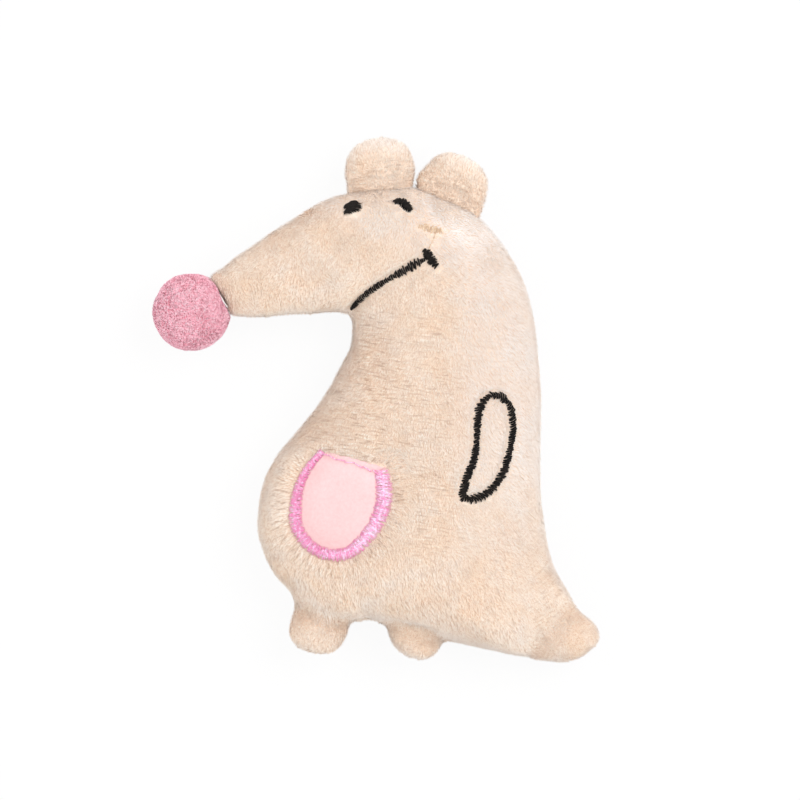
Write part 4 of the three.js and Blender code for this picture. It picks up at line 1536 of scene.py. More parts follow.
@dataclass
class BodySkin:
    """The plush body: two panels sewn round the edge, turned out and stuffed."""

    limbs: Sequence["StuffedLimb"] = ()
    lines: Sequence[SatinLine] = ()
    patch: SatinLine | None = None
    felt_ring: np.ndarray = field(default_factory=lambda: np.zeros((0, 2)))
    voxel: float = 0.95 * MM
    shrink: float = 0.3 * MM
    cap: float = 1.0 * MM
    held: float = 0.8 * MM
    rest_level: float = 0.45 * MM
    rest_edge: float = 0.35 * MM
    seam_depth: float = 0.45
    seam_width: float = 0.55
    press_width: float = 1.1
    patch_middle: tuple[float, float] = (-7.4, -20.5)
    pulls: Pulls = (
        (-30.2, 18.9, -0.5, -0.6, 1.9), (-33.9, 25.8, -1.5, 0.5, 2.0), (-25.0, 19.0, 0.0, -0.55, 5.0),
        (-14.0, 19.0, 0.0, -0.6, 6.0), (-29.0, 29.0, -0.25, 0.35, 4.0), (-21.0, 34.5, -0.15, 0.25, 5.0),
        (-24.5, -29.0, -0.45, 0.0, 6.0), (-18.5, -39.5, 0.5, 0.3, 2.6), (37.0, -31.0, -0.5, 0.0, 5.0),
        (35.0, -21.0, -0.4, 0.0, 6.0), (39.6, -41.5, 0.7, 0.3, 2.6), (9.2, 45.4, 0.0, 0.5, 3.0),
        (-3.2, -44.8, 0.0, -1.2, 2.8), (33.4, -52.2, 0.0, -0.9, 2.0), (-5.6, 12.0, 0.45, -0.1, 4.0),
        (33.6, 15.0, 0.4, 0.0, 7.0), (34.9, 0.0, 0.3, 0.0, 8.0), (-10.0, 41.5, -0.1, 0.35, 5.0),
        (-15.5, -49.0, -0.75, 0.2, 4.5), (0.6, -46.2, -1.3, -0.3, 2.6), (6.5, -50.5, -0.9, 0.1, 4.5),
        (46.0, -50.5, 1.3, 0.2, 3.5), (39.5, -55.0, 0.2, 0.7, 3.0),
    )
    folds: Sequence[tuple[Stops, float]] = (
        (((-3.0, -45.0, 2.6), (-3.8, -41.0, 2.4), (-5.2, -37.5, 2.0)), 0.55),
        (((-16.2, -42.7, 1.0), (-13.0, -45.2, 1.1), (-10.0, -46.4, 1.0), (-7.6, -46.4, 0.8)), 0.4),
        (((6.4, -46.6, 0.6), (9.6, -47.3, 0.9), (12.6, -48.7, 0.9), (14.8, -50.0, 0.7)), 0.55),
        (((32.8, -51.0, 1.2), (34.6, -47.2, 1.3), (38.6, -44.0, 1.2)), 0.15),
    )

    def build(self) -> Object:
        """Makes the skin: welded, pulled to the outline, swelled, dented under the stitches, combed.

        Returns:
            The skin of the body and of the limbs that are cut with it, ready for its pile.
        """
        skin = sewn_shell("body_skin", ("front_panel", "back_panel"), self.voxel)
        ground = tree_over(skin)
        skin = joined("body_skin", [skin, *(limb.shell(ground) for limb in self.limbs)])
        weld(skin, self.voxel, 8)
        pull(skin.data, self.pulls)
        places = coordinates(skin.data)
        move_to(skin.data, places - normals_of(skin.data) * self.shrink)
        places = coordinates(skin.data)
        swell(skin, np.abs(places[:, 2] - SEAM_LEVEL) < self.held, self.cap)
        refined(skin)
        self._flatten_back(skin)
        self._dent(skin)
        self._comb(skin)
        return skin

    def _flatten_back(self, skin: Object) -> None:
        """Settles the back on the level that it lies on.

        Args:
            skin: the skin.
        """
        places = coordinates(skin.data)
        near = places[:, 2] < self.rest_level + 1.2 * MM
        depth = places[near, 2] - self.rest_level
        eased_depth = np.log1p(np.exp(np.clip(depth / self.rest_edge, -30, 30)))
        places[near, 2] = self.rest_level + self.rest_edge * eased_depth
        move_to(skin.data, places)

    def _dent(self, skin: Object) -> None:
        """Presses the cloth in along the seam, in its folds and under every stitched line.

        Args:
            skin: the skin.
        """
        places = coordinates(skin.data)
        normals = normals_of(skin.data)
        flat = places[:, :2] / MM
        front = places[:, 2] > SEAM_LEVEL
        level = (places[:, 2] - SEAM_LEVEL) / (self.seam_width * MM)
        depth = self.seam_depth * np.exp(-(level**2))
        for line in self.lines:
            gap, _, width = from_line(flat, line.line(0.8))
            beyond = np.maximum(gap - width / 2, 0)
            depth += front * line.sink * np.exp(-((beyond / self.press_width) ** 2))
        for stops, deep in self.folds:
            gap, _, width = from_line(flat, rounded_line(stops, 0.8))
            depth += front * deep * np.exp(-((gap / width) ** 2))
        depth += 0.07 * noise(places / MM, 3.2, 4) + 0.1 * noise(places / MM, 9.0, 5)
        move_to(skin.data, places - normals * depth[:, None] * MM)

    def _comb(self, skin: Object) -> None:
        """Stores which way the pile lies, how long it is, and how it parts in rows and strokes.

        Args:
            skin: the skin.
        """
        lay = self._brushed(coordinates(skin.data) / MM, normals_of(skin.data))
        x = lay.places[:, 0]
        front = lay.places[:, 2] > SEAM_LEVEL / MM
        self._part_at_stitches(lay, front)
        if self.patch is not None:
            self._fringe_patch(lay, front)
        lay.way += 0.6 * np.c_[lay.normals[:, 0], np.minimum(lay.normals[:, 1], 0)]
        lay.way[:, 0] += 0.7 * eased(x, 10, 20) * np.maximum(lay.normals[:, 0], 0)
        for limb in self.limbs:
            limb.lead(lay)
        lay.way /= np.maximum(np.linalg.norm(lay.way, axis=1, keepdims=True), 1e-9)
        lay.way = np.c_[lay.way, 0 * x]
        lay.store(skin.data)

    def _brushed(self, places: np.ndarray, normals: np.ndarray) -> Lay:
        """Lays the pile as it is brushed over the whole body.

        Args:
            places: rows in millimetres.
            normals: the skin's directions.

        Returns:
            The lay, before the stitches and the limbs change it.
        """
        flat = places[:, :2]
        x, y = flat.T
        head = eased(y, 14, 24)
        low = eased(-y, 26, 36)
        angle = 0.35 * noise(flat, 7.0, 1) + 0.25 * noise(flat, 2.4, 2)
        angle += head * (0.8 * noise(flat, 5.0, 3) + 0.4 * noise(flat, 1.6, 7))
        angle += 0.35 * low * eased(x, -8, 4)
        sleek_and_lit = eased(x, 13, 23) * (1 - low)
        facing = eased(normals[:, 2], 0.35, 0.75)
        combed = eased(y, -37, -28) * (1 - eased(y, 15, 23)) * (1 - 0.7 * sleek_and_lit) * facing
        patchy = 0.35 + 0.65 * eased(noise(flat, 5.5, 10), -0.7, 0.1)
        combed *= patchy * (1 - 0.35 * eased(x, -5, 12)) * (0.6 + 0.4 * eased(x, -22, -14))
        # Paler on the right side and the top of the head: partly painted light where the light falls.
        pale = 0.9 * sleek_and_lit * (1 - 0.5 * eased(-y, 12, 24))
        crown = 0.3 * eased(y + x, 46, 53) * eased(y, 28, 36)
        pale = np.maximum(pale, 0.95 * eased(y + 0.5 * x, 31, 39) + crown)
        # Painted light on steep edges, less on the left.
        rim = (1 - eased(normals[:, 2], 0.15, 0.6)) * (0.4 + 0.6 * np.maximum(eased(x, -15, 10), head))
        return Lay(
            places=places,
            normals=normals,
            way=np.stack([np.sin(angle), -np.cos(angle)], axis=1),
            grain=np.c_[x, -(y + 0.12 * x), 0 * x],
            row=1 - 0.25 * eased(noise(flat, 1.3, 12), 0.2, 0.8) * (1 - sleek_and_lit),
            combed=combed,
            stroked=low * facing * (1 - eased(x, 27, 34)),
            smooth=np.maximum(pale, 0.75 * rim),
            cover=1 + 0 * x,
            reach=1 + 0 * x,
        )

    def _part_at_stitches(self, lay: Lay, front: np.ndarray) -> None:
        """Bares the skin under stitches and felt, and parts and shortens the pile beside them.

        Args:
            lay: the lay, which is changed.
            front: which vertices are on the embroidered side.
        """
        flat = lay.places[:, :2]
        if len(self.felt_ring):
            lay.cover[front & inside_of(flat, self.felt_ring)] = 0
        for line in self.lines:
            gap, away, width = from_line(flat, line.line(0.8))
            beyond = gap - width / 2
            lay.cover[front & (beyond < line.bare)] = 0
            near = front * np.exp(-((np.maximum(beyond, 0) / 0.7) ** 2))
            if line.slot != "pink_thread":
                lay.way += line.parting * near[:, None] * away
                lay.reach *= 1 - 0.45 * near

    def _fringe_patch(self, lay: Lay, front: np.ndarray) -> None:
        """Combs the pile outwards all round the patch, but for its top.

        Args:
            lay: the lay, which is changed.
            front: which vertices are on the embroidered side.
        """
        flat = lay.places[:, :2]
        gap, away, width = from_line(flat, self.patch.line(0.8))
        beyond = np.maximum(gap - width / 2, 0)
        middle_x, middle_y = self.patch_middle
        round_it = np.arctan2(flat[:, 0] - middle_x, -(flat[:, 1] - middle_y))
        fringe = front * np.exp(-((beyond / 3.6) ** 2)) * (1 - eased(np.abs(round_it), 2.2, 2.7))
        lay.way += 3.0 * fringe[:, None] * away
        inner = fringe > 0.3
        lay.grain[inner] = np.c_[beyond, round_it * 11.0, 0 * gap][inner]
        lay.combed = np.where(inner, np.clip(fringe * 1.4, 0, 1), lay.combed * (1 - fringe))
        lay.stroked *= ~inner

    def zone(self, skin: Object, zone: Zone) -> Object:
        """Copies the stretch of skin that one coat of pile covers.

        Args:
            skin: the body's skin.
            zone: the stretch.

        Returns:
            The copy, whose cover fades out at its border.
        """
        places = coordinates(skin.data) / MM
        z, seam = places[:, 2], SEAM_LEVEL / MM
        headward = eased(places[:, 1], 7.5, 10.5)
        share = {Zone.HEAD: headward, Zone.TORSO: 1 - headward, Zone.BACK: 1 + 0 * headward}[zone]
        keep = (z < seam + 0.3 if zone is Zone.BACK else z > seam - 0.3) & (share > 0)
        attach(skin.data, "zone_share", share)
        copy = part_of(skin, f"zone_{zone.value}", keep)
        attach(copy.data, "cover", read_back(copy.data, "cover") * read_back(copy.data, "zone_share"))
        return copy


@dataclass
class StuffedLimb:
    """An ear, a foot or the tail: two small panels, stuffed and sewn in the body's seam."""

    name: str
    joint: str
    into: float = 2.4
    trim: float = 0.3
    cut: float = -1.5
    bend: float = 4.0
    voxel: float = 0.6 * MM
    cap: float = 0.5 * MM
    root: float = 0.9
    streaks: float = 0.5
    seed: int = 1
    sides: tuple[float, float] = (-9.0, 9.0)
    pulls: Pulls = ()

    def hinge(self) -> tuple[Vector, Vector]:
        """Finds the limb's hinge.

        Returns:
            The joint's place, and the direction away from the body.
        """
        found = next(j for j in frame["joints"] if j["name"] == self.joint)
        ax, ay, _ = found["axis"]
        return Vector(found["pos_m"]), Vector((-ay, ax, 0)).normalized()

    def share_of(self, places: np.ndarray) -> tuple[np.ndarray, np.ndarray, np.ndarray]:
        """Measures places from the limb's hinge.

        Args:
            places: rows of x, y and z in metres.

        Returns:
            Millimetres away from the body, millimetres along the hinge, and how far it is limb.
        """
        hinge, out = (np.array(v) for v in self.hinge())
        away = ((places - hinge) @ out) / MM
        side = ((places - hinge) @ np.array([-out[1], out[0], 0.0])) / MM
        low, high = self.sides
        share = eased(away, self.cut - 0.4, self.cut + 1.6)
        share *= eased(side, low - 1.2, low) * (1 - eased(side, high, high + 1.2))
        return away, side, share

    def lay_of(self, flat: np.ndarray) -> np.ndarray:
        """Finds which way the limb's pile lies, with a random turn.

        Args:
            flat: rows of x and y in millimetres.

        Returns:
            Unit rows of x and y.
        """
        out = self.hinge()[1]
        turn = 0.6 * noise(flat, 3.0, self.seed + 30) + 0.4 * noise(flat, 1.2, self.seed + 31)
        right = out[0] * np.cos(turn) - out[1] * np.sin(turn)
        return np.stack([right, out[0] * np.sin(turn) + out[1] * np.cos(turn)], 1)

    def lead(self, lay: Lay) -> None:
        """Leads the body's pile out over the limb, with painted shade in the crease at its root.

        Args:
            lay: the body's lay, which is changed.
        """
        away, side, share = self.share_of(lay.places * MM)
        lay.way += (self.lay_of(lay.places[:, :2]) * 2.0 - lay.way) * share[:, None]
        inner = share > 0.5
        lay.grain[inner] = np.c_[side, away, 0 * side][inner]
        # Painted shade in the crease at the root, and a little over the whole limb.
        crease = np.exp(-(((away - 1.0) / 1.3) ** 2)) * share
        lay.row *= (1 - self.streaks * crease) * (1 - 0.15 * share)
        lay.combed += (self.streaks * (1 - eased(away, 1.5, 4.5)) - lay.combed) * share
        lay.stroked *= 1 - share

    def shell(self, ground: BVHTree) -> Object:
        """Makes the limb's closed skin, with its root pushed into the body.

        Args:
            ground: the body's skin.

        Returns:
            The skin.
        """
        hinge, out = (np.array(v) for v in self.hinge())
        skin = sewn_shell(f"{self.name}_skin", (f"{self.name}_front", f"{self.name}_back"), self.voxel)
        places = coordinates(skin.data)
        near = np.array([ground.find_nearest(Vector(p))[3] for p in places]) / MM
        held = 1 - eased(near, 1.1, 2.6)
        places -= out * ((held * self.into + self.trim) * MM)[:, None]
        move_to(skin.data, places)
        attach(skin.data, "held", held)
        self._fill_root(skin, hinge, out)
        pull(skin.data, self.pulls)
        side = self.share_of(coordinates(skin.data))[1]
        self.sides = (float(side.min()) - 1.5, float(side.max()) + 1.5)
        return skin

    def sew_on(self, ground: BVHTree) -> tuple[Object, Object]:
        """Makes the limb as a piece of its own, whose root lies behind the body's edge.

        Args:
            ground: the body's skin.

        Returns:
            The limb's skin, and the stretch of it that bears pile.
        """
        skin = self.shell(ground)
        edge = np.abs(coordinates(skin.data)[:, 2] - SEAM_LEVEL) < 0.5 * MM
        swell(skin, edge | (read_back(skin.data, "held") > 0.4), self.cap)
        return skin, part_of(skin, f"{self.name}_zone", self._comb(skin))

    def take_from(self, skin: Object) -> tuple[Object, Object, np.ndarray]:
        """Cuts the limb out of the skin that it shares with the body.

        Args:
            skin: the shared skin.

        Returns:
            The limb's skin, the stretch that bears pile, and whether each shared vertex is the limb's.
        """
        places = coordinates(skin.data)
        away, side, _ = self.share_of(places)
        own = (away > self.cut) & (side > self.sides[0]) & (side < self.sides[1])
        piece = part_of(skin, f"{self.name}_skin", own, capped=True)
        return piece, part_of(skin, f"{self.name}_zone", own), own

    def dress(self, skin: Object, zone: Object, tuft: Object, materials: dict[str, Material]) -> None:
        """Grows the limb's pile, and bakes the places of skin and pile into their meshes.

        Args:
            skin: the limb's skin.
            zone: the stretch of skin that bears pile.
            tuft: the tuft of its pile.
            materials: the shared materials by name.
        """
        skin.data.materials.append(materials["plush_cloth"])
        pile = PileCoat(f"{self.name}_pile", 15.0, length=0.8, lean=1.7, map_scale=38.0, seed=self.seed)
        coat = pile.grow(zone, tuft, materials["plush_pile"])
        coat_shift(coat)
        for piece in (skin, coat):
            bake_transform(piece)
        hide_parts(f"{self.name}_front", f"{self.name}_back")
        log.info("%s: %d faces of pile", self.name, len(coat.data.polygons))

    def _fill_root(self, skin: Object, hinge: np.ndarray, out: np.ndarray) -> None:
        """Fills the limb out towards its root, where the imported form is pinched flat.

        Args:
            skin: the limb's skin.
            hinge: the joint's place.
            out: the direction away from the body.
        """
        places = coordinates(skin.data)
        away = ((places - hinge) @ out) / MM
        height = np.abs(places[:, 2] - SEAM_LEVEL) / MM
        marks = np.arange(-5.0, 14.0, 0.5)
        tallest = np.array([height[np.abs(away - m) < 0.4].max(initial=0.2) for m in marks])
        full = tallest.max()
        wanted = full * (self.root + (1.0 - self.root) * eased(marks, 0.0, 4.0))
        peak = marks[tallest.argmax()]
        gain = np.where(marks < peak, np.clip(wanted / tallest, 1.0, 2.6), 1.0)
        gain = np.convolve(np.pad(gain, 2, mode="edge"), [0.1, 0.2, 0.4, 0.2, 0.1], mode="valid")
        places[:, 2] = SEAM_LEVEL + (places[:, 2] - SEAM_LEVEL) * np.interp(away, marks, gain)
        move_to(skin.data, places)

    def _comb(self, skin: Object) -> np.ndarray:
        """Stores how the pile of a limb of its own lies.

        Args:
            skin: the limb's skin.

        Returns:
            Which vertices stand clear of the body.
        """
        refined(skin)
        places = coordinates(skin.data)
        normals = normals_of(skin.data)
        level = (places[:, 2] - SEAM_LEVEL) / MM
        depth = 0.3 * np.exp(-((level / 0.5) ** 2)) + 0.05 * noise(places / MM, 2.4, self.seed)
        places = places - normals * (depth + 0.35)[:, None] * MM
        move_to(skin.data, places)
        away, side, _ = self.share_of(places)
        flat = places[:, :2] / MM
        # Painted shade towards the root, where the limb meets the body; then darker random patches.
        row = 1 - 0.35 * (1 - eased(away, 0.2, 2.2))
        row *= 1 - 0.3 * eased(noise(flat, 1.2, self.seed + 33), 0.25, 0.8)
        # Painted light on steep edges; towards its tip the pile lies sleeker and paler.
        edge = 0.6 * (1 - eased(normals[:, 2], 0.15, 0.6))
        Lay(
            places=places / MM,
            normals=normals,
            way=np.c_[self.lay_of(flat), 0 * away],
            grain=np.c_[side, away, 0 * side],
            row=row,
            combed=self.streaks * (1 - eased(away, 3.0, 6.5)),
            stroked=0 * away,
            smooth=np.maximum(edge, 0.55 * eased(away, 4.0, 8.5)),
            cover=1 + 0 * away,
            reach=0.9 + 0.2 * row,
        ).store(skin.data)
        return away > -2.2


def coat_shift(coat: Object) -> None:
    """Centres a pile's map on its own middle.

    Args:
        coat: the pile.
    """
    layer = coat.data.uv_layers.get("OFBake")
    if layer is None:
        return
    rows = rows_of(layer.data, "uv", 2)
    low, high = rows.min(0), rows.max(0)
    rows = 0.03 + 0.94 * (rows - low) / np.maximum((high - low).max(), 1e-9)
    layer.data.foreach_set("uv", rows.ravel())


@dataclass
class BellyPatch:
    """Smooth felt on the belly, inside a wide satin border, with its top edge left raw."""

    border: SatinLine
    top_edge: Sequence[tuple[float, float]]
    lift: float = 0.18
    thickness: float = 0.55
    spacing: float = 0.55
    puff: float = 0.35
    corners: int = 180

    def ring(self) -> np.ndarray:
        """Runs the felt's outline, in millimetres."""
        line = self.border.line(0.5)[:, :2]
        return np.vstack([line, np.array(self.top_edge)[::-1]])

    def _cut_edge(self) -> np.ndarray:
        """Cuts the felt's edge: evenly spaced corners, with the raw top a little ragged.

        Returns:
            Rows of x and y in millimetres.
        """
        outline = self.ring()
        closed = np.vstack([outline, outline[:1]])
        run = np.r_[0, np.cumsum(np.linalg.norm(np.diff(closed, axis=0), axis=1))]
        marks = np.linspace(0, run[-1], self.corners + 1)[:-1]
        outline = np.stack([np.interp(marks, run, closed[:, k]) for k in range(2)], 1)
        raw = outline[:, 1] > np.interp(outline[:, 0], (-10.2, 2.5), (-10.6, -14.2))
        outline[raw, 1] += 0.16 * noise(outline[raw], 0.5, 61)
        return outline

    def _sheet(self) -> tuple[np.ndarray, Any]:
        """Fills the edge with faces.

        Returns:
            Rows of x and y in millimetres, and the faces.
        """
        outline = self._cut_edge()
        across = np.arange(-18.0, 5.0, self.spacing)
        grid = np.stack(np.meshgrid(across, across - 14.0), -1).reshape(-1, 2)
        edge = np.c_[outline, np.zeros(len(outline))]
        grid = grid[inside_of(grid, outline)]
        grid = grid[from_line(grid, np.vstack([edge, edge[:1]]))[0] > 0.35]
        rim = [(k, (k + 1) % len(outline)) for k in range(len(outline))]
        found = delaunay_2d_cdt([Vector(v) for v in np.vstack([outline, grid])], rim, [], 1, 1e-6)
        return np.array([tuple(v) for v in found[0]]), found[2]

    def build(self, ground: BVHTree, finish: Material) -> Object:
        """Lays the felt on the cloth.

        Args:
            ground: the body's skin.
            finish: the felt's material.

        Returns:
            The felt, with its thickness.
        """
        flat, faces = self._sheet()
        puff = self.puff * eased(from_line(flat, self.border.line(0.8))[0], 1.2, 5.0)
        vertices = []
        for (x, y), more in zip(flat, puff):
            place, up = on_top(ground, x * MM, y * MM)
            vertices.append(place + Vector((0, 0, (self.lift + more) * MM / max(up.z, 0.5))))
        felt = mesh_object("belly_felt", vertices, faces)
        with edited(felt.data) as bm:
            bmesh.ops.recalc_face_normals(bm, faces=bm.faces)
            if sum(f.normal.z for f in bm.faces) < 0:
                bmesh.ops.reverse_faces(bm, faces=bm.faces)
        eased_felt = felt.modifiers.new("ease", "SMOOTH")
        eased_felt.factor, eased_felt.iterations = 0.5, 4
        thick = felt.modifiers.new("thickness", "SOLIDIFY")
        thick.thickness, thick.offset = self.thickness * MM, -1.0
        baked_down(felt)
        shade_smooth(felt.data)
        felt.data.materials.append(finish)
        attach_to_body(felt, "body")
        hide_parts("belly_patch")
        log.info("belly_felt: %d faces", len(felt.data.polygons))
        return felt


@dataclass
class PomPomNose:
    """A dense ball of yarn, trimmed round, sewn to the end of the snout."""

    centre: tuple[float, float, float] = (-38.45, 18.9, 11.5)
    radius: float = 8.25
    pressed: float = 6.8
    towards: tuple[float, float] = (0.9114, 0.4115)

    def build(self, materials: dict[str, Material]) -> None:
        """Makes the ball and its curly cut fibres.

        Args:
            materials: the shared materials by name.
        """
        bm = bmesh.new()
        bmesh.ops.create_icosphere(bm, subdivisions=5, radius=1.0)
        core = object_from(bm, "pompom_core")
        mesh = core.data
        unit = coordinates(mesh)
        radius = self.radius * (1 + 0.02 * noise(unit, 0.45, 3) + 0.012 * noise(unit, 0.16, 4)) - 0.45
        way = np.array([*self.towards, 0.0])
        places = unit * radius[:, None]
        over = np.maximum(places @ way - self.pressed, 0)
        places -= over[:, None] * way
        move_to(mesh, (places + np.array(self.centre)) * MM)
        shade_smooth(mesh)
        still = 0 * over
        # Sleeker and paler towards the snout and round the rim and underside, with painted light on the rim.
        smooth = np.maximum(eased(unit @ (0.7, 0.3, 0.0), 0.1, 0.6), 1 - eased(unit[:, 2], 0.2, 0.55))
        values = {
            "nap": np.stack([noise(unit, 0.3, k) for k in (5, 6, 7)], 1), "cover": 1 + still,
            "reach": (1 - 0.3 * (over > 0.05)) * (1 - 0.35 * smooth),
            "row": 1 - 0.15 * eased(noise(unit, 0.11, 6), 0.0, 0.7) * (1 - smooth),
            "grain": 0 * unit, "combed": still, "stroked": still, "smooth": smooth,
        }
        attach_all(mesh, values)
        mesh.materials.append(materials["yarn_cloth"])
        curl = curl_template("curl_template")
        coat = PileCoat("pompom_fibres", 32.0, 0.56, 0.75, lean=0.2, spread=0.85, map_scale=50.0, seed=9)
        fibres = coat.grow(part_of(core, "pompom_zone", 1 + still), curl, materials["yarn_pile"])
        drop(curl)
        coat_shift(fibres)
        for piece in (core, fibres):
            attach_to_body(piece, "nose")
        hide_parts("pompom")
        log.info("pompom: %d faces of fibre", len(fibres.data.polygons))


@dataclass
class CatnipMouse:
    """The whole toy, put together from its sewn pieces."""

    materials: dict[str, Material] = field(default_factory=dict)

    def finishes(self) -> None:
        """Makes every material of the toy, by name."""
        # In each pile finish root and shade are painted shade, tip and smooth partly painted light, and body
        # is the pile's own colour.
        plush = PileFinish(
            "plush", root=(0.82, 0.6, 0.44), body=(0.98, 0.84, 0.71), tip=(1.0, 0.95, 0.87),
            shade=(0.6, 0.41, 0.29), smooth=(0.94, 0.87, 0.83), sheen=0.6,
        )
        yarn = PileFinish(
            "yarn", root=(1.0, 0.47, 0.57), body=(1.0, 0.52, 0.62), tip=(1.0, 0.82, 0.88),
            shade=(1.0, 0.36, 0.46), smooth=(1.0, 0.59, 0.69), sheen=0.7, specular=0.1, mottle=0.2,
        )
        for finish in (plush, yarn):
            self.materials[f"{finish.name}_pile"] = finish.coat()
            self.materials[f"{finish.name}_cloth"] = finish.cloth()
        made = (
            # Each thread: deep is painted shade, bright its own colour, the third a painted highlight.
            ThreadFinish(
                "black_thread", (0.001, 0.001, 0.001), (0.005, 0.004, 0.004), (0.018, 0.014, 0.012),
                roughness=0.6, sheen=0.0, specular=0.14,
            ),
            ThreadFinish("tan_thread", (0.56, 0.33, 0.19), (0.74, 0.5, 0.31), (0.92, 0.74, 0.55)),
            ThreadFinish("pink_thread", (0.86, 0.15, 0.4), (1.0, 0.42, 0.71), (1.0, 0.8, 0.99), 0.3, 0.3),
            ThreadFinish("white_thread", (0.7, 0.68, 0.66), (0.88, 0.87, 0.86), (0.98, 0.98, 0.98), 0.25),
            ThreadFinish("seam_thread", (0.62, 0.45, 0.34), (0.8, 0.62, 0.5), (0.92, 0.78, 0.66), 0.6),
            MattedFinish("pink_felt", (0.86, 0.51, 0.51), (0.93, 0.65, 0.65), 1500.0, 0.9, 0.3, 0.05 * MM),
            MattedFinish("wadding", (0.8, 0.79, 0.76), (0.95, 0.95, 0.93), 700.0, depth=0.4 * MM),
            MattedFinish("sachet_cloth", (0.7, 0.67, 0.6), (0.88, 0.86, 0.81), 1800.0),
            MattedFinish("dried_leaf", (0.1, 0.12, 0.035), (0.3, 0.33, 0.13), 500.0, 0.9, 0.0, 0.5 * MM),
        )
        for finish in made:
            self.materials[finish.name] = finish.material()

    def stitched_lines(self) -> list[SatinLine]:
        """Lists every embroidered line on the body, in millimetres.

        Returns:
            The lines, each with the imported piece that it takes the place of.
        """
        arm = [
            (18.46, -19.84, 1.5), (18.67, -17.9, 1.5), (19.53, -14.92, 1.45), (20.6, -12.55, 1.35),
            (21.13, -9.57, 1.3), (21.34, -6.99, 1.35), (21.55, -3.57, 1.4), (21.99, -1.21, 1.45),
            (22.95, 0.51, 1.35), (24.44, 1.37, 1.3), (26.38, 1.05, 1.2), (27.89, -0.35, 1.3),
            (28.62, -2.71, 1.35), (28.83, -5.71, 1.2), (28.41, -8.71, 1.25), (27.76, -11.71, 1.4),
            (26.92, -14.48, 1.5), (25.51, -16.83, 1.5), (23.81, -18.77, 1.45), (21.67, -19.94, 1.45),
            (19.95, -20.38, 1.4),
        ]
        mouth = [
            (-4.64, 19.82, 0.8), (-3.19, 21.31, 1.15), (-1.62, 22.68, 1.3), (0.81, 24.36, 1.35),
            (3.21, 25.83, 1.5), (6.14, 27.42, 1.65), (8.45, 28.76, 1.75), (10.34, 29.71, 1.6),
        ]
        return [
            SatinLine(
                "arm_satin", "arm_outline", "black_thread", [(x, y, w + 0.5) for x, y, w in arm], closed=True,
                pitch=0.48, thickness=1.25, raggedness=0.32, tilt=0.15, slant=0.5, seed=3,
            ),
            SatinLine(
                "mouth_satin", "mouth_line", "black_thread", mouth,
                pitch=0.42, thickness=1.1, raggedness=0.45, tilt=0.22, slant=-0.12, seed=4,
            ),
            SatinLine(
                "corner_satin", "mouth_corner", "black_thread",
                [
                    (10.3, 31.7, 1.0), (10.9, 31.1, 1.7), (11.6, 30.1, 1.9), (12.3, 29.0, 1.8),
                    (12.9, 28.3, 1.3),
                ],
                pitch=0.3, thickness=1.05, lift=0.22, tilt=0.3, raggedness=0.35, seed=5,
            ),
            SatinLine(
                "eye_fore_satin", "eye_fore", "black_thread",
                [
                    (-4.41, 41.6, 2.1), (-4.6, 41.25, 3.5), (-4.63, 40.8, 4.1), (-4.5, 40.35, 3.9),
                    (-4.7, 39.95, 3.6), (-5.2, 39.6, 2.6), (-5.8, 39.25, 1.2),
                ],
                pitch=0.25, lift=0.22, tilt=0.12, raggedness=0.16, level=0.12, parting=0.4, seed=6,
            ),
            SatinLine(
                "eye_hind_satin", "eye_hind", "black_thread",
                [
                    (4.1, 41.6, 0.9), (4.9, 41.95, 1.4), (5.7, 41.75, 2.0), (6.5, 41.2, 2.2),
                    (7.1, 40.5, 1.9), (7.6, 39.9, 1.0),
                ],
                pitch=0.24, tilt=0.16, raggedness=0.4, slant=0.1, parting=0.4, seed=7,
            ),
            SatinLine(
                "cheek_satin", "cheek_stitch", "tan_thread",
                [(9.3, 36.7, 1.0), (10.97, 36.4, 1.7), (12.44, 36.05, 1.7), (14.0, 35.75, 1.2)],
                pitch=0.34, thickness=0.75, lift=-0.02, tilt=0.45, raggedness=0.5, parting=0.6, seed=8,
            ),
            SatinLine(
                "cheek_tail_stitch", "", "tan_thread",
                [(12.59, 34.9, 1.9), (12.13, 33.59, 1.9), (11.5, 32.3, 1.9)],
                pitch=1.3, thickness=0.5, lift=0.1, tilt=0.1, sink=0.1, bare=-0.9, along=True,
                parting=0.3, seed=9,
            ),
        ]

    def patch_border(self) -> SatinLine:
        """Makes the wide satin border round the patch.

        Returns:
            The border.
        """
        return SatinLine(
            "border_satin", "patch_border", "pink_thread",
            [
                (-10.9, -10.4, 1.5), (-13.9, -14.1, 1.9), (-15.7, -18.0, 2.2), (-16.4, -22.3, 2.7),
                (-16.2, -25.9, 2.8), (-14.5, -28.8, 2.6), (-12.0, -30.9, 2.5), (-8.7, -31.9, 2.4),
                (-5.2, -31.3, 2.5), (-2.2, -28.8, 2.8), (0.3, -25.4, 3.1), (1.8, -21.4, 3.2),
                (2.0, -17.6, 3.2), (1.4, -14.3, 2.9),
            ],
            pitch=0.1, thickness=0.42, lift=0.45, raggedness=0.22, tilt=0.35, sink=0.45, bare=-0.1,
            pale=(-0.08, 0.16), seed=12,
        )

    def patch_top(self) -> SatinLine:
        """Makes the thin running stitch along the patch's top.

        Returns:
            The row of stitches.
        """
        return SatinLine(
            "patch_top_satin", "patch_top_stitch", "pink_thread",
            [(-10.2, -11.1, 2.2), (-7.29, -12.07, 2.2), (-3.72, -13.12, 2.2), (0.3, -14.7, 2.2)],
            pitch=1.9, thickness=0.7, lift=0.24, tilt=0.3, sink=0.25, along=True, pale=(0.0, 0.0), seed=13,
        )

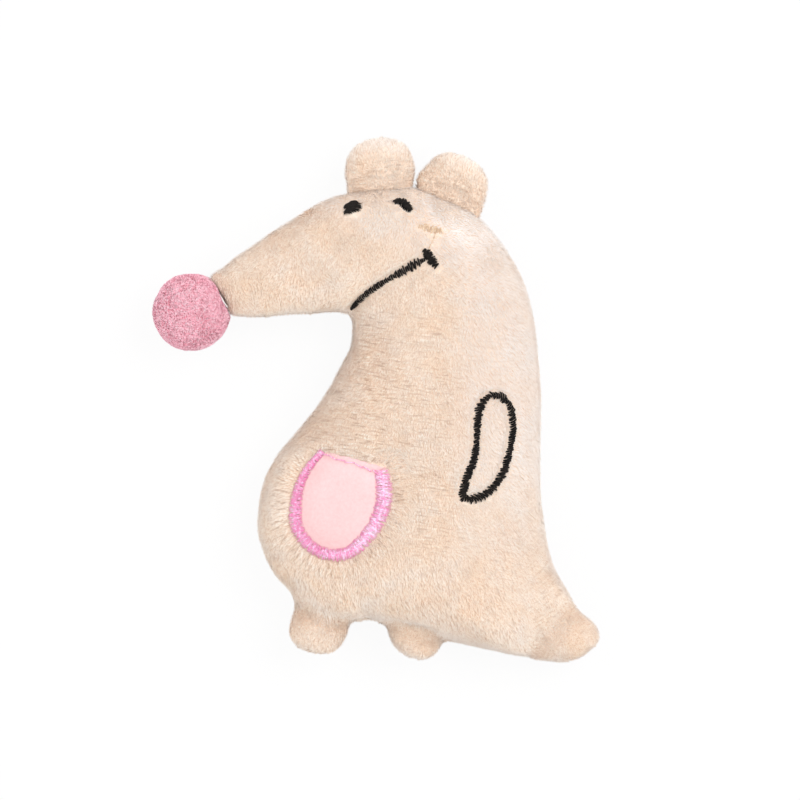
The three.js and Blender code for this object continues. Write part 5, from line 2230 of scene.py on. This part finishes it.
    def build(self) -> None:
        """Makes and places every piece."""
        self.finishes()
        lines, border, top = self.stitched_lines(), self.patch_border(), self.patch_top()
        patch = BellyPatch(
            border, [(-10.22, -10.1), (-6.87, -10.95), (-3.51, -11.8), (-0.15, -12.7), (2.58, -13.64)]
        )
        limbs = [
            StuffedLimb("foot_fore", "foot_fore_flex", trim=0.6, root=1.15, streaks=0.45, seed=55),
            StuffedLimb("foot_hind", "foot_hind_flex", trim=1.1, root=1.15, streaks=0.5, seed=62),
            StuffedLimb("tail", "tail_flex", trim=0.5, root=1.25, streaks=0.45, seed=69),
        ]
        fore, hind = [(8.8, 47.0, 0.6, 0.0, 4.0)], [(10.2, 46.8, -1.9, 0.0, 3.0), (22.8, 47.0, 0.4, 0.1, 4.0)]
        ears = [
            StuffedLimb("ear_fore", "ear_fore_flop", streaks=0.8, seed=41, pulls=fore),
            StuffedLimb("ear_hind", "ear_hind_flop", streaks=0.8, seed=48, pulls=hind),
        ]
        body = BodySkin(limbs, lines=[*lines, border, top], patch=border, felt_ring=patch.ring())
        skin = body.build()
        ground = tree_over(skin)
        tuft = tuft_template("tuft_template", 0.16)
        strand = strand_template("strand_template", 0.4 * MM, 0.34 * MM, 0.35 * MM)
        for line in lines:
            line.sew(ground, strand, self.materials[line.slot])
        felt = patch.build(ground, self.materials["pink_felt"])
        border.sew(ground, strand, self.materials["pink_thread"])
        top.sew(tree_over(felt), strand, self.materials["pink_thread"])
        taken = np.zeros(len(skin.data.vertices), bool)
        for limb in limbs:
            piece, zone, own = limb.take_from(skin)
            limb.dress(piece, zone, tuft, self.materials)
            taken |= own
        for ear in ears:
            ear.dress(*ear.sew_on(ground), tuft, self.materials)
        self.dress_body(body, skin, ~taken, tuft)
        PomPomNose().build(self.materials)
        self.nose_loop(ground)
        self.dress_inside([*limbs, *ears])
        for helper in (tuft, strand):
            drop(helper)

    def dress_body(self, body: BodySkin, shared: Object, own: np.ndarray, tuft: Object) -> None:
        """Keeps the body's own part of the skin and grows its pile, one coat for each stretch.

        Args:
            body: the body's maker.
            shared: the skin that body, feet and tail share, which is used up.
            own: whether each vertex is the body's.
            tuft: the tuft of the pile.
        """
        skin = part_of(shared, "body_panels", own, capped=True)
        uncapped = part_of(shared, "body_zone", own)
        drop(shared)
        for zone, density, seed in ((Zone.HEAD, 16.0, 21), (Zone.TORSO, 16.0, 22), (Zone.BACK, 10.0, 23)):
            coat = PileCoat(f"pile_{zone.value}", density, length=0.9, lean=1.9, spread=0.34, seed=seed)
            pile = coat.grow(body.zone(uncapped, zone), tuft, self.materials["plush_pile"])
            coat_shift(pile)
            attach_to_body(pile, "body")
            log.info("%s: %d faces", pile.name, len(pile.data.polygons))
        drop(uncapped)
        skin.data.materials.append(self.materials["plush_cloth"])
        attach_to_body(skin, "body")
        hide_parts("front_panel", "back_panel")

    def nose_loop(self, ground: BVHTree) -> None:
        """Lays the white thread that shows at the end of the snout.

        Args:
            ground: the body's skin.
        """
        stops = ((-32.7, 22.8, 0.5), (-32.1, 21.8, -0.35), (-31.6, 20.9, -0.35), (-30.9, 19.9, 0.5))
        curve = bpy.data.curves.new("nose_loop", "CURVE")
        curve.dimensions = "3D"
        curve.bevel_depth, curve.bevel_resolution = 0.17 * MM, 3
        for aside in (0.0, -0.55):
            spline = curve.splines.new("BEZIER")
            spline.bezier_points.add(len(stops) - 1)
            for point, (x, y, drop_by) in zip(spline.bezier_points, stops):
                place, _ = on_top(ground, (x + 1.3) * MM, (y + 0.3) * MM)
                point.co = ((x + aside) * MM, (y + 0.45 * aside) * MM, place.z - drop_by * MM)
                point.handle_left_type = point.handle_right_type = "AUTO"
        drawn = placed(bpy.data.objects.new("nose_loop", curve))
        mesh = finished_mesh(drawn)
        bpy.data.objects.remove(drawn)
        loop = placed(bpy.data.objects.new("nose_loop", mesh))
        wear(mesh, self.materials["white_thread"])
        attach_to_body(loop, "body")
        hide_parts("nose_stitch")

    def dress_inside(self, limbs: Sequence[StuffedLimb]) -> None:
        """Sets the wadding back from the skin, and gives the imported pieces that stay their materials.

        Args:
            limbs: every limb, feet, tail and ears.
        """
        for node in ("head_fill", "body_fill_front"):
            set_back(node, "body", 0.7, self.materials["wadding"])
        for limb in limbs:
            shift = -limb.hinge()[1] * limb.trim * MM
            set_back(f"{limb.name}_fill", limb.name, 0.6, self.materials["wadding"], shift)
        worn = {
            "wadding": ("body_fill_back",),
            "sachet_cloth": ("catnip_sachet",),
            "dried_leaf": ("catnip_leaf",),
            "seam_thread": ("seam_thread", "closing_thread"),
            "white_thread": ("nose_thread", "pompom_tie"),
        }
        for finish, nodes in worn.items():
            for node in nodes:
                wear(frame["nodes"][node].data, self.materials[finish])


@dataclass
class Studio:
    """A pale floor, soft light and the camera straight above."""

    centre: tuple[float, float] = (5.3, 0.42)
    view_width: float = 167.9
    distance: float = 2.0
    half: float = 3.0
    floor_glow: float = 0.92
    world_light: float = 0.81
    lamps: Sequence[tuple[str, Colour, float, float]] = (
        ("key", (0.38, 0.2, 0.75), 0.6, 3.35),
        ("fill", (-0.45, 0.1, 0.7), 0.7, 1.0),
    )

    def camera(self) -> None:
        """Places the camera, which looks straight down with +Y up."""
        data = bpy.data.cameras.new("camera")
        data.sensor_width = 36.0
        data.lens = 36.0 * self.distance / (self.view_width * MM)
        data.clip_end = 20.0
        camera = bpy.data.objects.new("camera", data)
        camera.location = (self.centre[0] * MM, self.centre[1] * MM, SEAM_LEVEL + self.distance)
        bpy.context.scene.camera = placed(camera)

    def floor(self) -> None:
        """Lays the floor, which the camera sees as white but for the toy's soft shadow."""
        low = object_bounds()[0].z
        corners = [(x * self.half, y * self.half, low) for x, y in ((-1, -1), (1, -1), (1, 1), (-1, 1))]
        floor = mesh_object("floor", corners, [(0, 1, 2, 3)])
        material, sheet = principled("pale_floor", 0.9, Base_Color=(0.9, 0.9, 0.9, 1.0))
        nodes = material.node_tree.nodes
        glow = sheet.add("ShaderNodeEmission", {"Color": (1, 1, 1, 1), "Strength": 1.0})
        path = sheet.add("ShaderNodeLightPath")
        share = sheet.sum_of("MULTIPLY", path.outputs["Is Camera Ray"], self.floor_glow)
        both = sheet.add("ShaderNodeMixShader", {0: share, 1: nodes["Principled BSDF"].outputs[0], 2: glow})
        sheet.feed(nodes["Material Output"], "Surface", both)
        floor.data.materials.append(material)
        floor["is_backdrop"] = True

    def lights(self) -> None:
        """Sets the world and two broad lamps."""
        world = bpy.data.worlds.new("studio")
        world.use_nodes = True
        bpy.context.scene.world = world
        sheet = NodeSheet(world.node_tree)
        background = world.node_tree.nodes["Background"]
        path = sheet.add("ShaderNodeLightPath")
        seen = sheet.sum_of("MAXIMUM", path.outputs["Is Camera Ray"], path.outputs["Is Glossy Ray"])
        strength = sheet.add("ShaderNodeMapRange", {"Value": seen, "To Min": self.world_light, "To Max": 1.0})
        sheet.feed(background, "Color", (1.0, 1.0, 1.0, 1.0))
        sheet.feed(background, "Strength", strength)
        for name, place, size, power in self.lamps:
            data = bpy.data.lights.new(name, "AREA")
            data.shape, data.size, data.energy = "DISK", size, power
            lamp = bpy.data.objects.new(name, data)
            lamp.location = place
            lamp.rotation_euler = (-Vector(place)).to_track_quat("-Z", "Y").to_euler()
            placed(lamp)

    def build(self) -> None:
        """Sets up the whole studio."""
        bpy.context.scene.view_settings.view_transform = "Standard"
        self.camera()
        self.lights()
        self.floor()


def main() -> None:
    """Builds the toy and its studio."""
    logging.basicConfig(level=logging.INFO, format="%(message)s")
    CatnipMouse().build()
    Studio().build()


if __name__ == "__main__":
    main()
